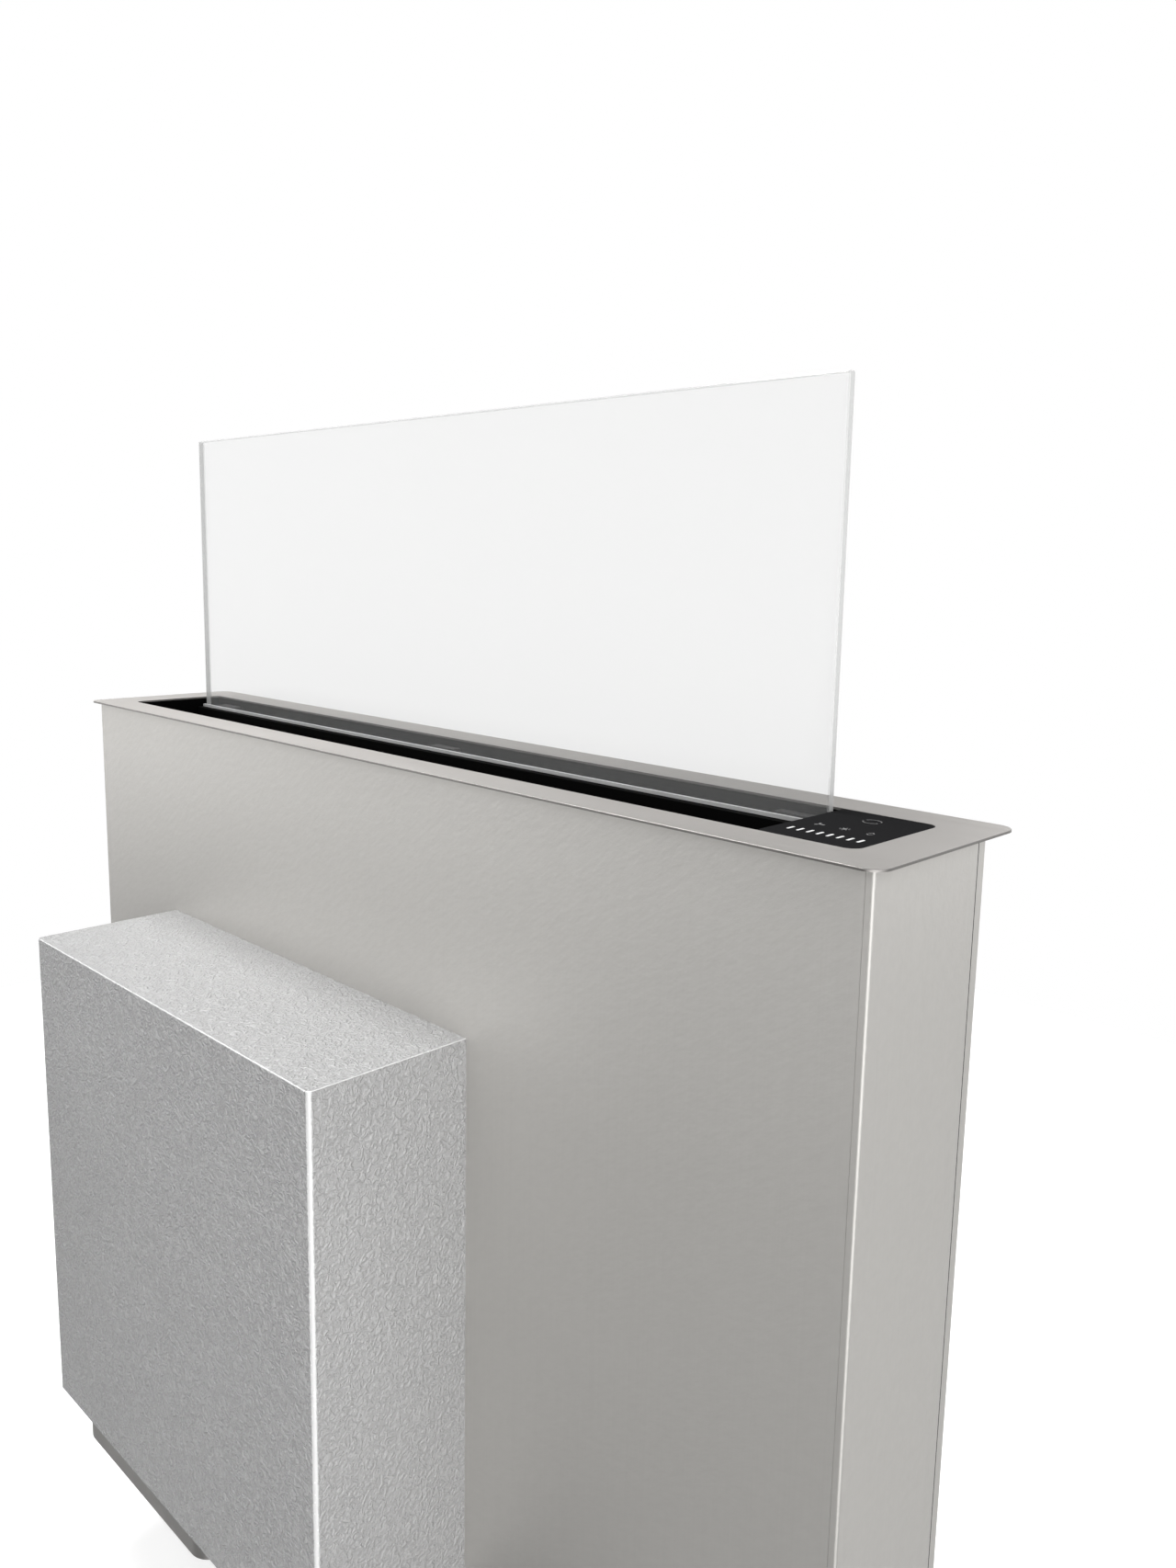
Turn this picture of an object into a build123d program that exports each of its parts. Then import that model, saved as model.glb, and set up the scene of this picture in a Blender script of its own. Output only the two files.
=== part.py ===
"""Glass downdraft vent for a worktop: a glass screen that rises from a slot behind the hob, with the
fan in a box on the front of the body.

Millimetres. The origin is the centre of the worktop cut-out, on the worktop's surface, which the flange
rests on. +X is to the right, +Y away from the cook and +Z up. The glass is drawn raised.
"""
import os

from build123d import *

# ---- Worktop flange -------------------------------------------------------------------------------
flange_overhang_side = 7.0
flange_overhang_front = 8.0
flange_overhang_rear = 24.0
flange_depth = 148.0
flange_thickness = 1.5
flange_corner = 11.5
flange_edge_round = 0.4
slot_border_left = 35.0
slot_border_right = 32.0
slot_depth = 88.0
slot_corner = 8.0

# ---- Body ------------------------------------------------------------------------------------------
body_width = 866.0
body_height = 735.0
sheet = 1.2
sheet_gap = 0.2
front_strip = 5.0
front_flange = 14.0
rear_wrap = 8.4
rear_seam = 0.8
rear_flange = 13.0
bend = 2.0
bottom_lip = 15.0
divider_back = 11.2
divider_foot = 11.0

# ---- Inlet liner and filters -----------------------------------------------------------------------
liner_margin = 1.0
liner_wall = 1.5
liner_height = 48.0
liner_front_ledge = 7.0
liner_rail_front = 3.0
liner_rail_back = 13.0
liner_end_ledge = 8.0
filter_height = 12.0
filter_corner = 6.0
filter_side_gap = 1.0
filter_end_gap = 4.0
filter_seat = 5.5
filter_border = 6.0
filter_core_height = 6.0
filter_slot_width = 6.0
filter_slot_pitch = 9.0
filter_handle_length = 62.0
filter_handle_height = 12.0
filter_handle_width = 8.0
filter_handle_wire = 2.4
filter_rest_gap = 0.2

# ---- Touch control ---------------------------------------------------------------------------------
control_width = 64.0
control_glass_thickness = 3.9
control_recess = 0.2
control_edge_gap = 0.4
control_wall = 1.5
control_inset = 0.6
control_seat_gap = 0.1
board_thickness = 1.6
board_depth_below = 6.0
board_gap = 1.0
board_post_radius = 3.0
board_post_inset = 12.0
touch_key_count = 4
touch_key_pitch = 18.0
touch_key_radius = 3.0
touch_key_inset = 8.0
touch_key_gap = 0.3

# ---- Glass screen and its carrier ------------------------------------------------------------------
glass_end_gap = 1.5
glass_front = 30.0
glass_thickness = 6.0
glass_height = 315.0
glass_rise = 253.0
glass_chamfer = 0.8
gasket_thickness = 1.0
clamp_front_depth = 9.0
clamp_rear_depth = 5.0
clamp_rear_height = 30.0
clamp_gasket_inset = 4.0
seat_pad_height = 5.5
beam_end_gap = 9.0
beam_height = 8.0
trim_depth = 2.2
trim_height = 2.5
trim_below = 5.5
clamp_screw_radius = 2.0
clamp_screw_head_radius = 3.5
clamp_screw_head_height = 2.5
clamp_screw_reach = 12.0
clamp_screw_count = 6
clamp_screw_end = 40.0
screw_hole_gap = 0.1

# ---- Lift drive ------------------------------------------------------------------------------------
lift_stroke = 250.0
screw_from_upright = 17.2
screw_axis_y = 29.0
screw_radius = 5.0
screw_chamfer = 0.6
running_gap = 0.06
carriage_half_width = 14.0
carriage_front = 15.0
carriage_back = 42.0
carriage_height = 36.0
carriage_tongue = 24.0
carriage_tongue_height = 10.0
rail_width = 12.0
rail_height = 6.0
rail_gap = 0.3
rail_over = 8.0
rail_under = 16.0
nut_radius = 8.0
nut_flange_radius = 9.5
nut_flange_height = 3.0
nut_length = 30.0
upright_thickness = 2.0
upright_width = 35.2
upright_front = 15.0
upright_bottom = -600.0
upright_back = 47.0
bearing_height = 14.0
bearing_reach_upper = 8.0
bearing_reach_lower = 15.0
bearing_front = 16.0
bearing_to_rail = 2.0
screw_top_margin = 2.0
pulley_radius = 12.0
pulley_height = 12.0
pulley_rim_radius = 14.0
pulley_rim_height = 2.0
pulley_drop = 4.0
belt_width = 7.0
belt_thickness = 1.5
belt_gap = 0.05
coupling_radius = 9.0
coupling_length = 21.0
coupling_drop = 2.0
coupling_grip = 8.0
lift_motor_radius = 14.5
lift_motor_length = 94.0
lift_motor_shaft_radius = 3.0
lift_motor_shaft_depth = 16.0
lift_motor_drop = 2.0
motor_plate = 3.0
wiper_height = 2.0
wiper_gap = 0.4
pad_width = 30.0
pad_top = 6.0
pad_height = 20.0
pad_gap = 0.4

# ---- Fan box on the front --------------------------------------------------------------------------
box_left = -290.5
box_width = 415.0
box_depth = 125.5
box_top = -179.0
box_height = 420.0
box_round = 3.5
box_edge_round = 0.9
box_flange = 12.0
spigot_length = 220.0
spigot_depth = 90.0
spigot_corner = 20.0
spigot_wall = 1.5
spigot_drop = 48.0
spigot_inset = 4.5
spigot_rim = 6.0
spigot_rim_side = 2.8
spigot_rim_thickness = 1.5
spigot_hole_gap = 0.3
flap_pin_radius = 1.5
flap_pin_spread = 3.5
flap_pin_drop = 5.0
flap_pin_seat = 1.0
flap_barrel_radius = 2.6
flap_thickness = 1.5
flap_edge_gap = 0.5
flap_end_gap = 0.7
flap_spring_radius = 2.5
flap_spring_bore = 1.7
flap_spring_length = 11.0
flap_spring_leg = 15.0
flap_spring_wire = 1.0
flap_spring_gap = 0.5
scroll_wall = 1.2
scroll_start_radius = 108.0
scroll_growth = 16.0
scroll_inlet_radius = 78.0
blower_drop = 166.0
wheel_radius = 90.0
wheel_blade = 18.0
wheel_blade_thickness = 1.4
wheel_blade_angle = 35.0
wheel_blade_count = 36
wheel_width = 70.0
wheel_ring = 2.5
wheel_back_gap = 11.0
rotor_radius = 46.0
rotor_wall = 2.0
rotor_length = 50.0
stator_radius = 40.0
stator_plate_radius = 58.0
stator_plate = 4.0
stator_length = 42.0
stator_gap = 5.0
fan_shaft_radius = 5.0
fan_shaft_end = 4.0
inlet_panel_radius = 84.0
inlet_throat_radius = 70.0
inlet_wall = 1.5
inlet_reach = 30.0
inlet_rim = 10.0
mount_radius = 8.0
mount_spread_x = 70.0
mount_spread_z = 62.0
unit_side_gap = 14.5
unit_width = 92.0
unit_depth = 58.0
unit_drop = 21.0
unit_height = 170.0
unit_wall = 2.0
unit_corner = 4.0
power_board_gap = 3.0
power_board_stand = 6.0
power_board_post_inset = 10.0
transformer_width = 42.0
transformer_height = 52.0
transformer_depth = 34.0
transformer_drop = 20.0
terminal_above_floor = 45.0
terminal_height = 84.0
terminal_width = 78.0
terminal_depth = 48.0
capacitor_radius = 15.0
capacitor_length = 66.0
capacitor_side_gap = 5.0
capacitor_strap = 1.0
gland_from_side = 62.5
gland_from_body = 44.0
gland_bore = 4.0
gland_thread_radius = 8.0
gland_nut_radius = 11.0
gland_nut_height = 5.0
gland_reach_in = 12.0
gland_reach_out = 14.0

# ---- Floor brackets, tray and fasteners ------------------------------------------------------------
bracket_thickness = 2.5
bracket_front = -62.0
bracket_back = 38.0
bracket_height = 60.0
bracket_reach = 35.0
bracket_drop = 15.0
bracket_slot_width = 7.0
bracket_slot_length = 16.0
bracket_slot_spacing = 64.0
fixing_radius = 2.0
fixing_head_radius = 4.0
fixing_head_height = 2.2
fixing_grip = 0.3
fixing_hole_gap = 0.15
bracket_screw_length = 5.5
box_screw_length = 4.0
box_screw_rows = 4
cover_screw_count = 5
cover_screw_end = 60.0
cover_screw_side = 7.5
bracket_screw_drop = 30.0
tray_height = 18.0
tray_wall = 1.0
tray_end_gap = 30.2
tray_margin = 4.0

# ---- Places worked out from the sizes above --------------------------------------------------------
half_width = body_width / 2
flange_length = body_width + 2 * flange_overhang_side
body_front = flange_overhang_front - flange_depth / 2
body_rear = flange_depth / 2 - flange_overhang_rear
slot_left = slot_border_left - flange_length / 2
slot_right = flange_length / 2 - slot_border_right
control_left = slot_right - control_width
inner_front = body_front + sheet
inner_rear = body_rear - sheet
body_bottom = -body_height
slot_length = slot_right - slot_left
slot_centre = (slot_left + slot_right) / 2
slot_half = slot_depth / 2

liner_left = slot_left - liner_margin
liner_right = slot_right + liner_margin
liner_half = slot_half + liner_margin
liner_floor = -liner_height + liner_wall
divider_front = divider_back - sheet

glass_left = slot_left + glass_end_gap
glass_right = control_left - glass_end_gap
glass_back = glass_front + glass_thickness
glass_top = flange_thickness + glass_rise
glass_bottom = glass_top - glass_height
clamp_front_back = glass_front - gasket_thickness
clamp_front_front = clamp_front_back - clamp_front_depth
clamp_rear_front = glass_back + gasket_thickness
clamp_rear_back = clamp_rear_front + clamp_rear_depth
clamp_bottom = glass_bottom - seat_pad_height
clamp_front_top = -trim_below - trim_height
clamp_rear_top = glass_bottom + clamp_rear_height
beam_bottom = clamp_bottom - beam_height

divider_half = half_width - 2 * sheet - 2 * sheet_gap
upright_outer = divider_half
upright_inner = upright_outer - upright_width
screw_axis_x = upright_outer - screw_from_upright
beam_half_length = screw_axis_x - beam_end_gap
bearing_outer = upright_outer - upright_thickness - sheet_gap
bearing_inner_upper = screw_axis_x - bearing_reach_upper
bearing_inner_lower = screw_axis_x - bearing_reach_lower
carriage_top = beam_bottom
carriage_bottom = carriage_top - carriage_height
rail_top = carriage_top + rail_over
rail_bottom = carriage_bottom - lift_stroke - rail_under
upright_face = upright_back - upright_thickness
rail_face = upright_face - rail_height
upper_bearing_bottom = rail_top + bearing_to_rail
upper_bearing_top = upper_bearing_bottom + bearing_height
lower_bearing_top = rail_bottom - bearing_to_rail
lower_bearing_bottom = lower_bearing_top - bearing_height
screw_top = upper_bearing_top - screw_top_margin
pulley_top = lower_bearing_bottom - pulley_drop
pulley_bottom = pulley_top - pulley_height
coupling_top = pulley_bottom - coupling_drop
coupling_bottom = coupling_top - coupling_length
screw_bottom = coupling_top - coupling_grip
motor_plate_top = coupling_bottom - lift_motor_drop
motor_top = motor_plate_top - motor_plate
belt_bottom = (pulley_top + pulley_bottom - belt_width) / 2

box_right = box_left + box_width
box_front = body_front - box_depth
box_bottom = box_top - box_height
box_middle = (box_front + body_front) / 2
box_x = (box_left + box_right) / 2
unit_left = box_right - unit_side_gap - unit_width
unit_top = box_top - unit_drop
gland_x = box_right - gland_from_side
gland_y = body_front - gland_from_body
terminal_top = box_bottom + terminal_above_floor + terminal_height
capacitor_x = gland_x - terminal_width / 2 - capacitor_side_gap - capacitor_radius
capacitor_top = terminal_top - (terminal_height - capacitor_length) / 2
spigot_left = box_left + spigot_inset
spigot_x = spigot_left + spigot_length / 2
spigot_bottom = box_bottom - spigot_drop
spigot_rim_top = box_bottom + sheet + spigot_rim_thickness
flap_z = box_bottom - flap_pin_drop
blower_x = spigot_left + scroll_start_radius + 2.5 * scroll_growth
blower_z = box_top - blower_drop
scroll_front = box_middle - spigot_depth / 2 - scroll_wall
scroll_back = box_middle + spigot_depth / 2 + scroll_wall
scroll_bottom = spigot_rim_top + sheet_gap
scroll_right = spigot_left + spigot_length
wheel_back = scroll_back - wheel_back_gap
wheel_front = wheel_back - wheel_width
rotor_front = scroll_front + scroll_wall + stator_gap + stator_plate
rotor_back = rotor_front + rotor_length
stator_front = scroll_front + scroll_wall
fan_axis = Axis((blower_x, 0, blower_z), (0, 1, 0))
bracket_bottom = body_bottom - bracket_drop
bracket_top = bracket_bottom + bracket_height
bracket_middle = (bracket_front + bracket_back) / 2
bracket_slot_x = half_width + (bracket_reach + bracket_thickness) / 2

plate_front = inner_front + sheet + 2 * sheet_gap
plate_back = inner_rear - 2 * sheet_gap - sheet
divider_bottom = body_bottom + sheet
tray_half_length = divider_half - tray_end_gap
tray_front = inner_front + tray_margin
tray_back = divider_front - tray_margin
tray_bottom = body_bottom + sheet
control_top = flange_thickness - control_recess
control_length = slot_right - control_edge_gap - control_left
control_x = control_left + control_length / 2
control_depth = slot_depth - 2 * control_edge_gap
housing_top = control_top - control_glass_thickness - control_seat_gap
housing_length = control_length - 2 * control_inset
housing_depth = control_depth - 2 * control_inset
housing_corner = slot_corner - control_edge_gap - control_inset
board_top = control_top - control_glass_thickness - board_depth_below
board_bottom = board_top - board_thickness
board_length = housing_length - 2 * (control_wall + board_gap)
board_depth = housing_depth - 2 * (control_wall + board_gap)
flap_length = spigot_length - 2 * (spigot_wall + flap_end_gap)

cover_screw_pitch = (body_height - 2 * cover_screw_end) / (cover_screw_count - 1)
cover_screw_rows = [-cover_screw_end - cover_screw_pitch * row for row in range(cover_screw_count)]
box_screw_pitch = (box_height - 2 * box_flange) / (box_screw_rows - 1)
box_screw_places = [
    (x, box_bottom + box_flange + box_screw_pitch * row)
    for x in (box_left + box_flange / 2, box_right - box_flange / 2)
    for row in range(box_screw_rows)
]
bracket_screw_z = bracket_top - bracket_screw_drop
bracket_screw_places = [
    (bracket_middle + step * bracket_slot_spacing / 2, bracket_screw_z) for step in (-1, 1)
]


def box_between(low, high, mode=Mode.ADD):
    """A box from one corner to the opposite one, in the part being built."""
    with Locations(tuple((a + b) / 2 for a, b in zip(low, high))):
        Box(*[b - a for a, b in zip(low, high)], mode=mode)


def end_box(side, low, high, mode=Mode.ADD):
    """box_between for a piece at one end of the body, given for the right-hand end (side 1)."""
    near, far = sorted((side * low[0], side * high[0]))
    box_between((near, *low[1:]), (far, *high[1:]), mode=mode)


def rods_along_y(places, y, radius, length, mode=Mode.ADD):
    """Round rods, or with SUBTRACT holes, along Y and centred on depth y, at (x, z) places."""
    with Locations([(x, y, z) for x, z in places]):
        Cylinder(radius, length, rotation=(90, 0, 0), mode=mode)


def rods_along_x(places, x, radius, length, mode=Mode.ADD):
    """Round rods, or with SUBTRACT holes, along X and centred on x, at (y, z) places."""
    with Locations([(x, y, z) for y, z in places]):
        Cylinder(radius, length, rotation=(0, 90, 0), mode=mode)


def front_plane(y):
    """A plane facing the cook at depth y: local x is X and local y is Z."""
    return Plane.XZ.offset(-y)


def write(piece, name):
    """Label one finished sub-part and write its STEP file."""
    piece.part.label = name
    export_step(piece.part, f"parts/{name}.step")


os.makedirs("parts", exist_ok=True)

# ==== Worktop flange and body ========================================================================
with BuildPart() as top_flange:
    with BuildSketch():
        RectangleRounded(flange_length, flange_depth, flange_corner)
        with Locations((slot_centre, 0)):
            RectangleRounded(slot_length, slot_depth, slot_corner, mode=Mode.SUBTRACT)
    extrude(amount=flange_thickness)
    fillet(top_flange.faces().sort_by(Axis.Z)[-1].outer_wire().edges(), flange_edge_round)
write(top_flange, "top_flange")

with BuildPart() as front_panel:
    with BuildSketch(front_plane(inner_front)):
        with Locations((0, -body_height / 2)):
            Rectangle(body_width - 2 * (front_strip + sheet_gap), body_height)
        with Locations((blower_x, blower_z)):
            Circle(inlet_panel_radius, mode=Mode.SUBTRACT)
    extrude(amount=sheet)
    rods_along_y(box_screw_places, inner_front, fixing_radius + fixing_hole_gap, 4 * sheet, mode=Mode.SUBTRACT)
write(front_panel, "front_panel")

for side, name in ((-1, "side_panel_left"), (1, "side_panel_right")):
    joggle = sheet + sheet_gap
    wrap_start = body_rear - rear_wrap - rear_seam
    edges_xy = [
        (half_width - front_strip, body_front),
        (half_width, body_front),
        (half_width, wrap_start),
        (half_width - joggle, wrap_start),
        (half_width - joggle, inner_rear - sheet_gap),
        (half_width - joggle - rear_flange, inner_rear - sheet_gap),
        (half_width - joggle - rear_flange, inner_rear - sheet_gap - sheet),
        (half_width - joggle - sheet, inner_rear - sheet_gap - sheet),
        (half_width - joggle - sheet, wrap_start - sheet),
        (half_width - sheet, wrap_start - sheet),
        (half_width - sheet, inner_front),
        (half_width - front_strip + sheet, inner_front),
        (half_width - front_strip + sheet, inner_front + joggle),
        (half_width - front_strip - front_flange, inner_front + joggle),
        (half_width - front_strip - front_flange, inner_front + sheet_gap),
        (half_width - front_strip, inner_front + sheet_gap),
    ]
    with BuildPart() as side_panel:
        with BuildSketch(Plane.XY.offset(body_bottom)):
            with BuildLine():
                Polyline([(side * x, y) for x, y in edges_xy], close=True)
            make_face()
            front_edge = vertices().group_by(Axis.Y)[0].sort_by(Axis.X)
            fillet(front_edge[-1 if side > 0 else 0], bend)
        extrude(amount=body_height)
        rods_along_y([(side * (half_width - cover_screw_side), z) for z in cover_screw_rows],
                     inner_rear, fixing_radius + fixing_hole_gap, 4 * sheet, mode=Mode.SUBTRACT)
        rods_along_x(bracket_screw_places, side * half_width, fixing_radius + fixing_hole_gap, 4 * sheet,
                     mode=Mode.SUBTRACT)
    write(side_panel, name)

with BuildPart() as rear_cover:
    with BuildSketch(Plane.XY.offset(body_bottom)):
        with Locations((0, body_rear - rear_wrap / 2)):
            Rectangle(body_width, rear_wrap)
        fillet(vertices().group_by(Axis.Y)[-1], bend)
        with Locations((0, body_rear - rear_wrap / 2 - sheet / 2)):
            Rectangle(body_width - 2 * sheet, rear_wrap - sheet, mode=Mode.SUBTRACT)
    extrude(amount=body_height)
    for side in (-1, 1):
        rods_along_y([(side * (half_width - cover_screw_side), z) for z in cover_screw_rows],
                     body_rear, fixing_radius + fixing_hole_gap, 4 * sheet, mode=Mode.SUBTRACT)
write(rear_cover, "rear_cover")

with BuildPart() as bottom_plate:
    box_between((-divider_half, plate_front, body_bottom), (divider_half, plate_back, body_bottom + bottom_lip))
    box_between((-divider_half, plate_front + sheet, body_bottom + sheet),
                (divider_half, plate_back - sheet, body_bottom + bottom_lip), mode=Mode.SUBTRACT)
write(bottom_plate, "bottom_plate")

with BuildPart() as air_divider:
    box_between((-divider_half, divider_front, divider_bottom), (divider_half, divider_back, -liner_height))
    box_between((-divider_half, divider_front, divider_bottom),
                (divider_half, divider_front + divider_foot, divider_bottom + sheet))
write(air_divider, "air_divider")

with BuildPart() as drip_tray:
    box_between((-tray_half_length, tray_front, tray_bottom),
                (tray_half_length, tray_back, tray_bottom + tray_height))
    box_between((-tray_half_length + tray_wall, tray_front + tray_wall, tray_bottom + tray_wall),
                (tray_half_length - tray_wall, tray_back - tray_wall, tray_bottom + tray_height),
                mode=Mode.SUBTRACT)
write(drip_tray, "drip_tray")

# ==== Inlet liner and grease filters =================================================================
with BuildPart() as inlet_liner:
    box_between((liner_left - liner_wall, -liner_half - liner_wall, -liner_height),
                (liner_right + liner_wall, liner_half + liner_wall, 0))
    box_between((liner_left, -liner_half, liner_floor), (liner_right, liner_half, 0), mode=Mode.SUBTRACT)
    box_between((liner_left + liner_end_ledge, -liner_half + liner_front_ledge, -liner_height),
                (control_left - liner_end_ledge, liner_rail_front, 0), mode=Mode.SUBTRACT)
    box_between((liner_left, liner_rail_back, -liner_height),
                (control_left - control_edge_gap, liner_half, 0), mode=Mode.SUBTRACT)
write(inlet_liner, "inlet_liner")

with BuildPart() as glass_wiper:
    box_between((liner_left + wiper_gap, liner_rail_back, -liner_height),
                (control_left - control_edge_gap, clamp_front_front - wiper_gap, -liner_height + wiper_height))
write(glass_wiper, "glass_wiper")

with BuildPart() as glass_guide_pads:
    for pad_x in (slot_left + pad_width, (slot_left + control_left) / 2, control_left - pad_width):
        box_between((pad_x - pad_width / 2, glass_back + pad_gap, -pad_top - pad_height),
                    (pad_x + pad_width / 2, liner_half, -pad_top))
write(glass_guide_pads, "glass_guide_pads")

filter_middle = (liner_left + control_left) / 2
filter_length = (control_left - liner_left) / 2 - filter_end_gap - filter_side_gap / 2
filter_front = -slot_half + filter_side_gap
filter_back = liner_rail_front + filter_seat
filter_depth = filter_back - filter_front
filter_y = (filter_front + filter_back) / 2
filter_bottom = liner_floor + filter_rest_gap
filter_top = filter_bottom + filter_height
filter_core_depth = filter_depth - 2 * filter_border
filter_core_top = filter_bottom + (filter_height + filter_core_height) / 2
filter_slots = int((filter_length - 2 * filter_border) / filter_slot_pitch)
for side, end in ((-1, "left"), (1, "right")):
    filter_x = filter_middle + side * (filter_length + filter_side_gap) / 2
    with BuildPart() as filter_frame:
        with BuildSketch(Plane.XY.offset(filter_bottom)):
            with Locations((filter_x, filter_y)):
                RectangleRounded(filter_length, filter_depth, filter_corner)
                Rectangle(filter_length - 2 * filter_border, filter_core_depth, mode=Mode.SUBTRACT)
        extrude(amount=filter_height)
    write(filter_frame, f"filter_frame_{end}")

    with BuildPart() as filter_core:
        with BuildSketch(Plane.XY.offset(filter_bottom + (filter_height - filter_core_height) / 2)):
            with Locations((filter_x, filter_y)):
                Rectangle(filter_length - 2 * filter_border, filter_core_depth)
                with GridLocations(filter_slot_pitch, 1, filter_slots, 1):
                    Rectangle(filter_slot_width, filter_core_depth - 2 * filter_border, mode=Mode.SUBTRACT)
        extrude(amount=filter_core_height)
    write(filter_core, f"filter_core_{end}")

    with BuildPart() as filter_handle:
        with BuildSketch(front_plane(filter_y + filter_handle_width / 2)):
            with Locations((filter_x, filter_core_top + filter_handle_height / 2)):
                Rectangle(filter_handle_length, filter_handle_height)
                with Locations((0, -filter_handle_wire / 2)):
                    Rectangle(filter_handle_length - 2 * filter_handle_wire,
                              filter_handle_height - filter_handle_wire, mode=Mode.SUBTRACT)
            fillet(vertices().group_by(Axis.Y)[-1], filter_handle_wire)
        extrude(amount=filter_handle_width)
    write(filter_handle, f"filter_handle_{end}")

# ==== Touch control ==================================================================================
with BuildPart() as control_glass:
    with BuildSketch(Plane.XY.offset(control_top - control_glass_thickness)):
        with Locations((control_x, 0)):
            Rectangle(control_length, control_depth)
        fillet(vertices().group_by(Axis.X)[-1], slot_corner - control_edge_gap)
    extrude(amount=control_glass_thickness)
    chamfer(control_glass.faces().sort_by(Axis.Z)[-1].edges(), control_recess)
write(control_glass, "control_glass")

with BuildPart() as control_housing:
    with BuildSketch(Plane.XY.offset(liner_floor)):
        with Locations((control_x, 0)):
            Rectangle(housing_length, housing_depth)
        fillet(vertices().group_by(Axis.X)[-1], housing_corner)
    extrude(amount=housing_top - liner_floor)
    with BuildSketch(Plane.XY.offset(liner_floor + control_wall)):
        with Locations((control_x, 0)):
            Rectangle(housing_length - 2 * control_wall, housing_depth - 2 * control_wall)
        fillet(vertices().group_by(Axis.X)[-1], housing_corner - control_wall)
    extrude(amount=housing_top - liner_floor, mode=Mode.SUBTRACT)
    with BuildSketch(Plane.XY.offset(liner_floor)):
        with Locations((control_x, 0)):
            with GridLocations(board_length - board_post_inset, board_depth - board_post_inset, 2, 2):
                Circle(board_post_radius)
    extrude(amount=board_bottom - liner_floor)
write(control_housing, "control_housing")

with BuildPart() as control_board:
    with BuildSketch(Plane.XY.offset(board_bottom)):
        with Locations((control_x, 0)):
            RectangleRounded(board_length, board_depth, housing_corner)
    extrude(amount=board_thickness)
    with BuildSketch(Plane.XY.offset(board_top)):
        with Locations((control_x + touch_key_inset, 0)):
            with GridLocations(1, touch_key_pitch, 1, touch_key_count):
                Circle(touch_key_radius)
    extrude(amount=board_depth_below - touch_key_gap)
write(control_board, "control_board")

# ==== Glass screen and carrier =======================================================================
with BuildPart() as glass_panel:
    box_between((glass_left, glass_front, glass_bottom), (glass_right, glass_back, glass_top))
    chamfer(glass_panel.edges(), glass_chamfer)
write(glass_panel, "glass_panel")

with BuildPart() as glass_trim:
    box_between((glass_left, clamp_front_back - trim_depth, clamp_front_top),
                (glass_right, clamp_front_back, clamp_front_top + trim_height))
write(glass_trim, "glass_trim")

clamp_bar_places = (
    (clamp_front_front, clamp_front_back, clamp_front_top),
    (clamp_rear_front, clamp_rear_back, clamp_rear_top),
)
clamp_pitch = (glass_right - glass_left - 2 * clamp_screw_end) / (clamp_screw_count - 1)
clamp_row = [glass_left + clamp_screw_end + clamp_pitch * step for step in range(clamp_screw_count)]
with BuildPart() as clamp_bars:
    for bar_front, bar_back, bar_top in clamp_bar_places:
        box_between((glass_left, bar_front, clamp_bottom), (glass_right, bar_back, bar_top))
        with Locations([(x, (bar_front + bar_back) / 2, clamp_bottom) for x in clamp_row]):
            Cylinder(clamp_screw_radius + screw_hole_gap, 2 * (clamp_screw_reach + screw_hole_gap),
                     mode=Mode.SUBTRACT)
write(clamp_bars, "clamp_bars")

with BuildPart() as clamp_gaskets:
    box_between((glass_left, clamp_front_back, glass_bottom + clamp_gasket_inset),
                (glass_right, glass_front, clamp_front_top - clamp_gasket_inset))
    box_between((glass_left, glass_back, glass_bottom + clamp_gasket_inset),
                (glass_right, clamp_rear_front, clamp_rear_top - clamp_gasket_inset))
    box_between((glass_left, glass_front, clamp_bottom), (glass_right, glass_back, glass_bottom))
write(clamp_gaskets, "clamp_gaskets")

with BuildPart() as lift_beam:
    box_between((-beam_half_length, clamp_front_front, beam_bottom),
                (beam_half_length, clamp_rear_back, clamp_bottom))
    for bar_front, bar_back, _ in clamp_bar_places:
        with Locations([(x, (bar_front + bar_back) / 2, beam_bottom + beam_height / 2) for x in clamp_row]):
            Cylinder(clamp_screw_radius + screw_hole_gap, 2 * beam_height, mode=Mode.SUBTRACT)
write(lift_beam, "lift_beam")

with BuildPart() as clamp_screws:
    for bar_front, bar_back, _ in clamp_bar_places:
        with Locations([(x, (bar_front + bar_back) / 2, beam_bottom) for x in clamp_row]):
            Cylinder(clamp_screw_radius, beam_height + clamp_screw_reach,
                     align=(Align.CENTER, Align.CENTER, Align.MIN))
            Cylinder(clamp_screw_head_radius, clamp_screw_head_height,
                     align=(Align.CENTER, Align.CENTER, Align.MAX))
write(clamp_screws, "clamp_screws")

# ==== Lift drive =====================================================================================
sides = ((-1, "left"), (1, "right"))

with BuildPart() as uprights:
    for side, _ in sides:
        end_box(side, (upright_inner, upright_face, upright_bottom),
                (upright_outer, upright_back, -liner_height))
        end_box(side, (upright_outer - upright_thickness, upright_front, upright_bottom),
                (upright_outer, upright_back, -liner_height))
write(uprights, "uprights")

with BuildPart() as guide_rails:
    for side, _ in sides:
        end_box(side, (screw_axis_x - rail_width / 2, rail_face, rail_bottom),
                (screw_axis_x + rail_width / 2, upright_face, rail_top))
write(guide_rails, "guide_rails")

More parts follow.
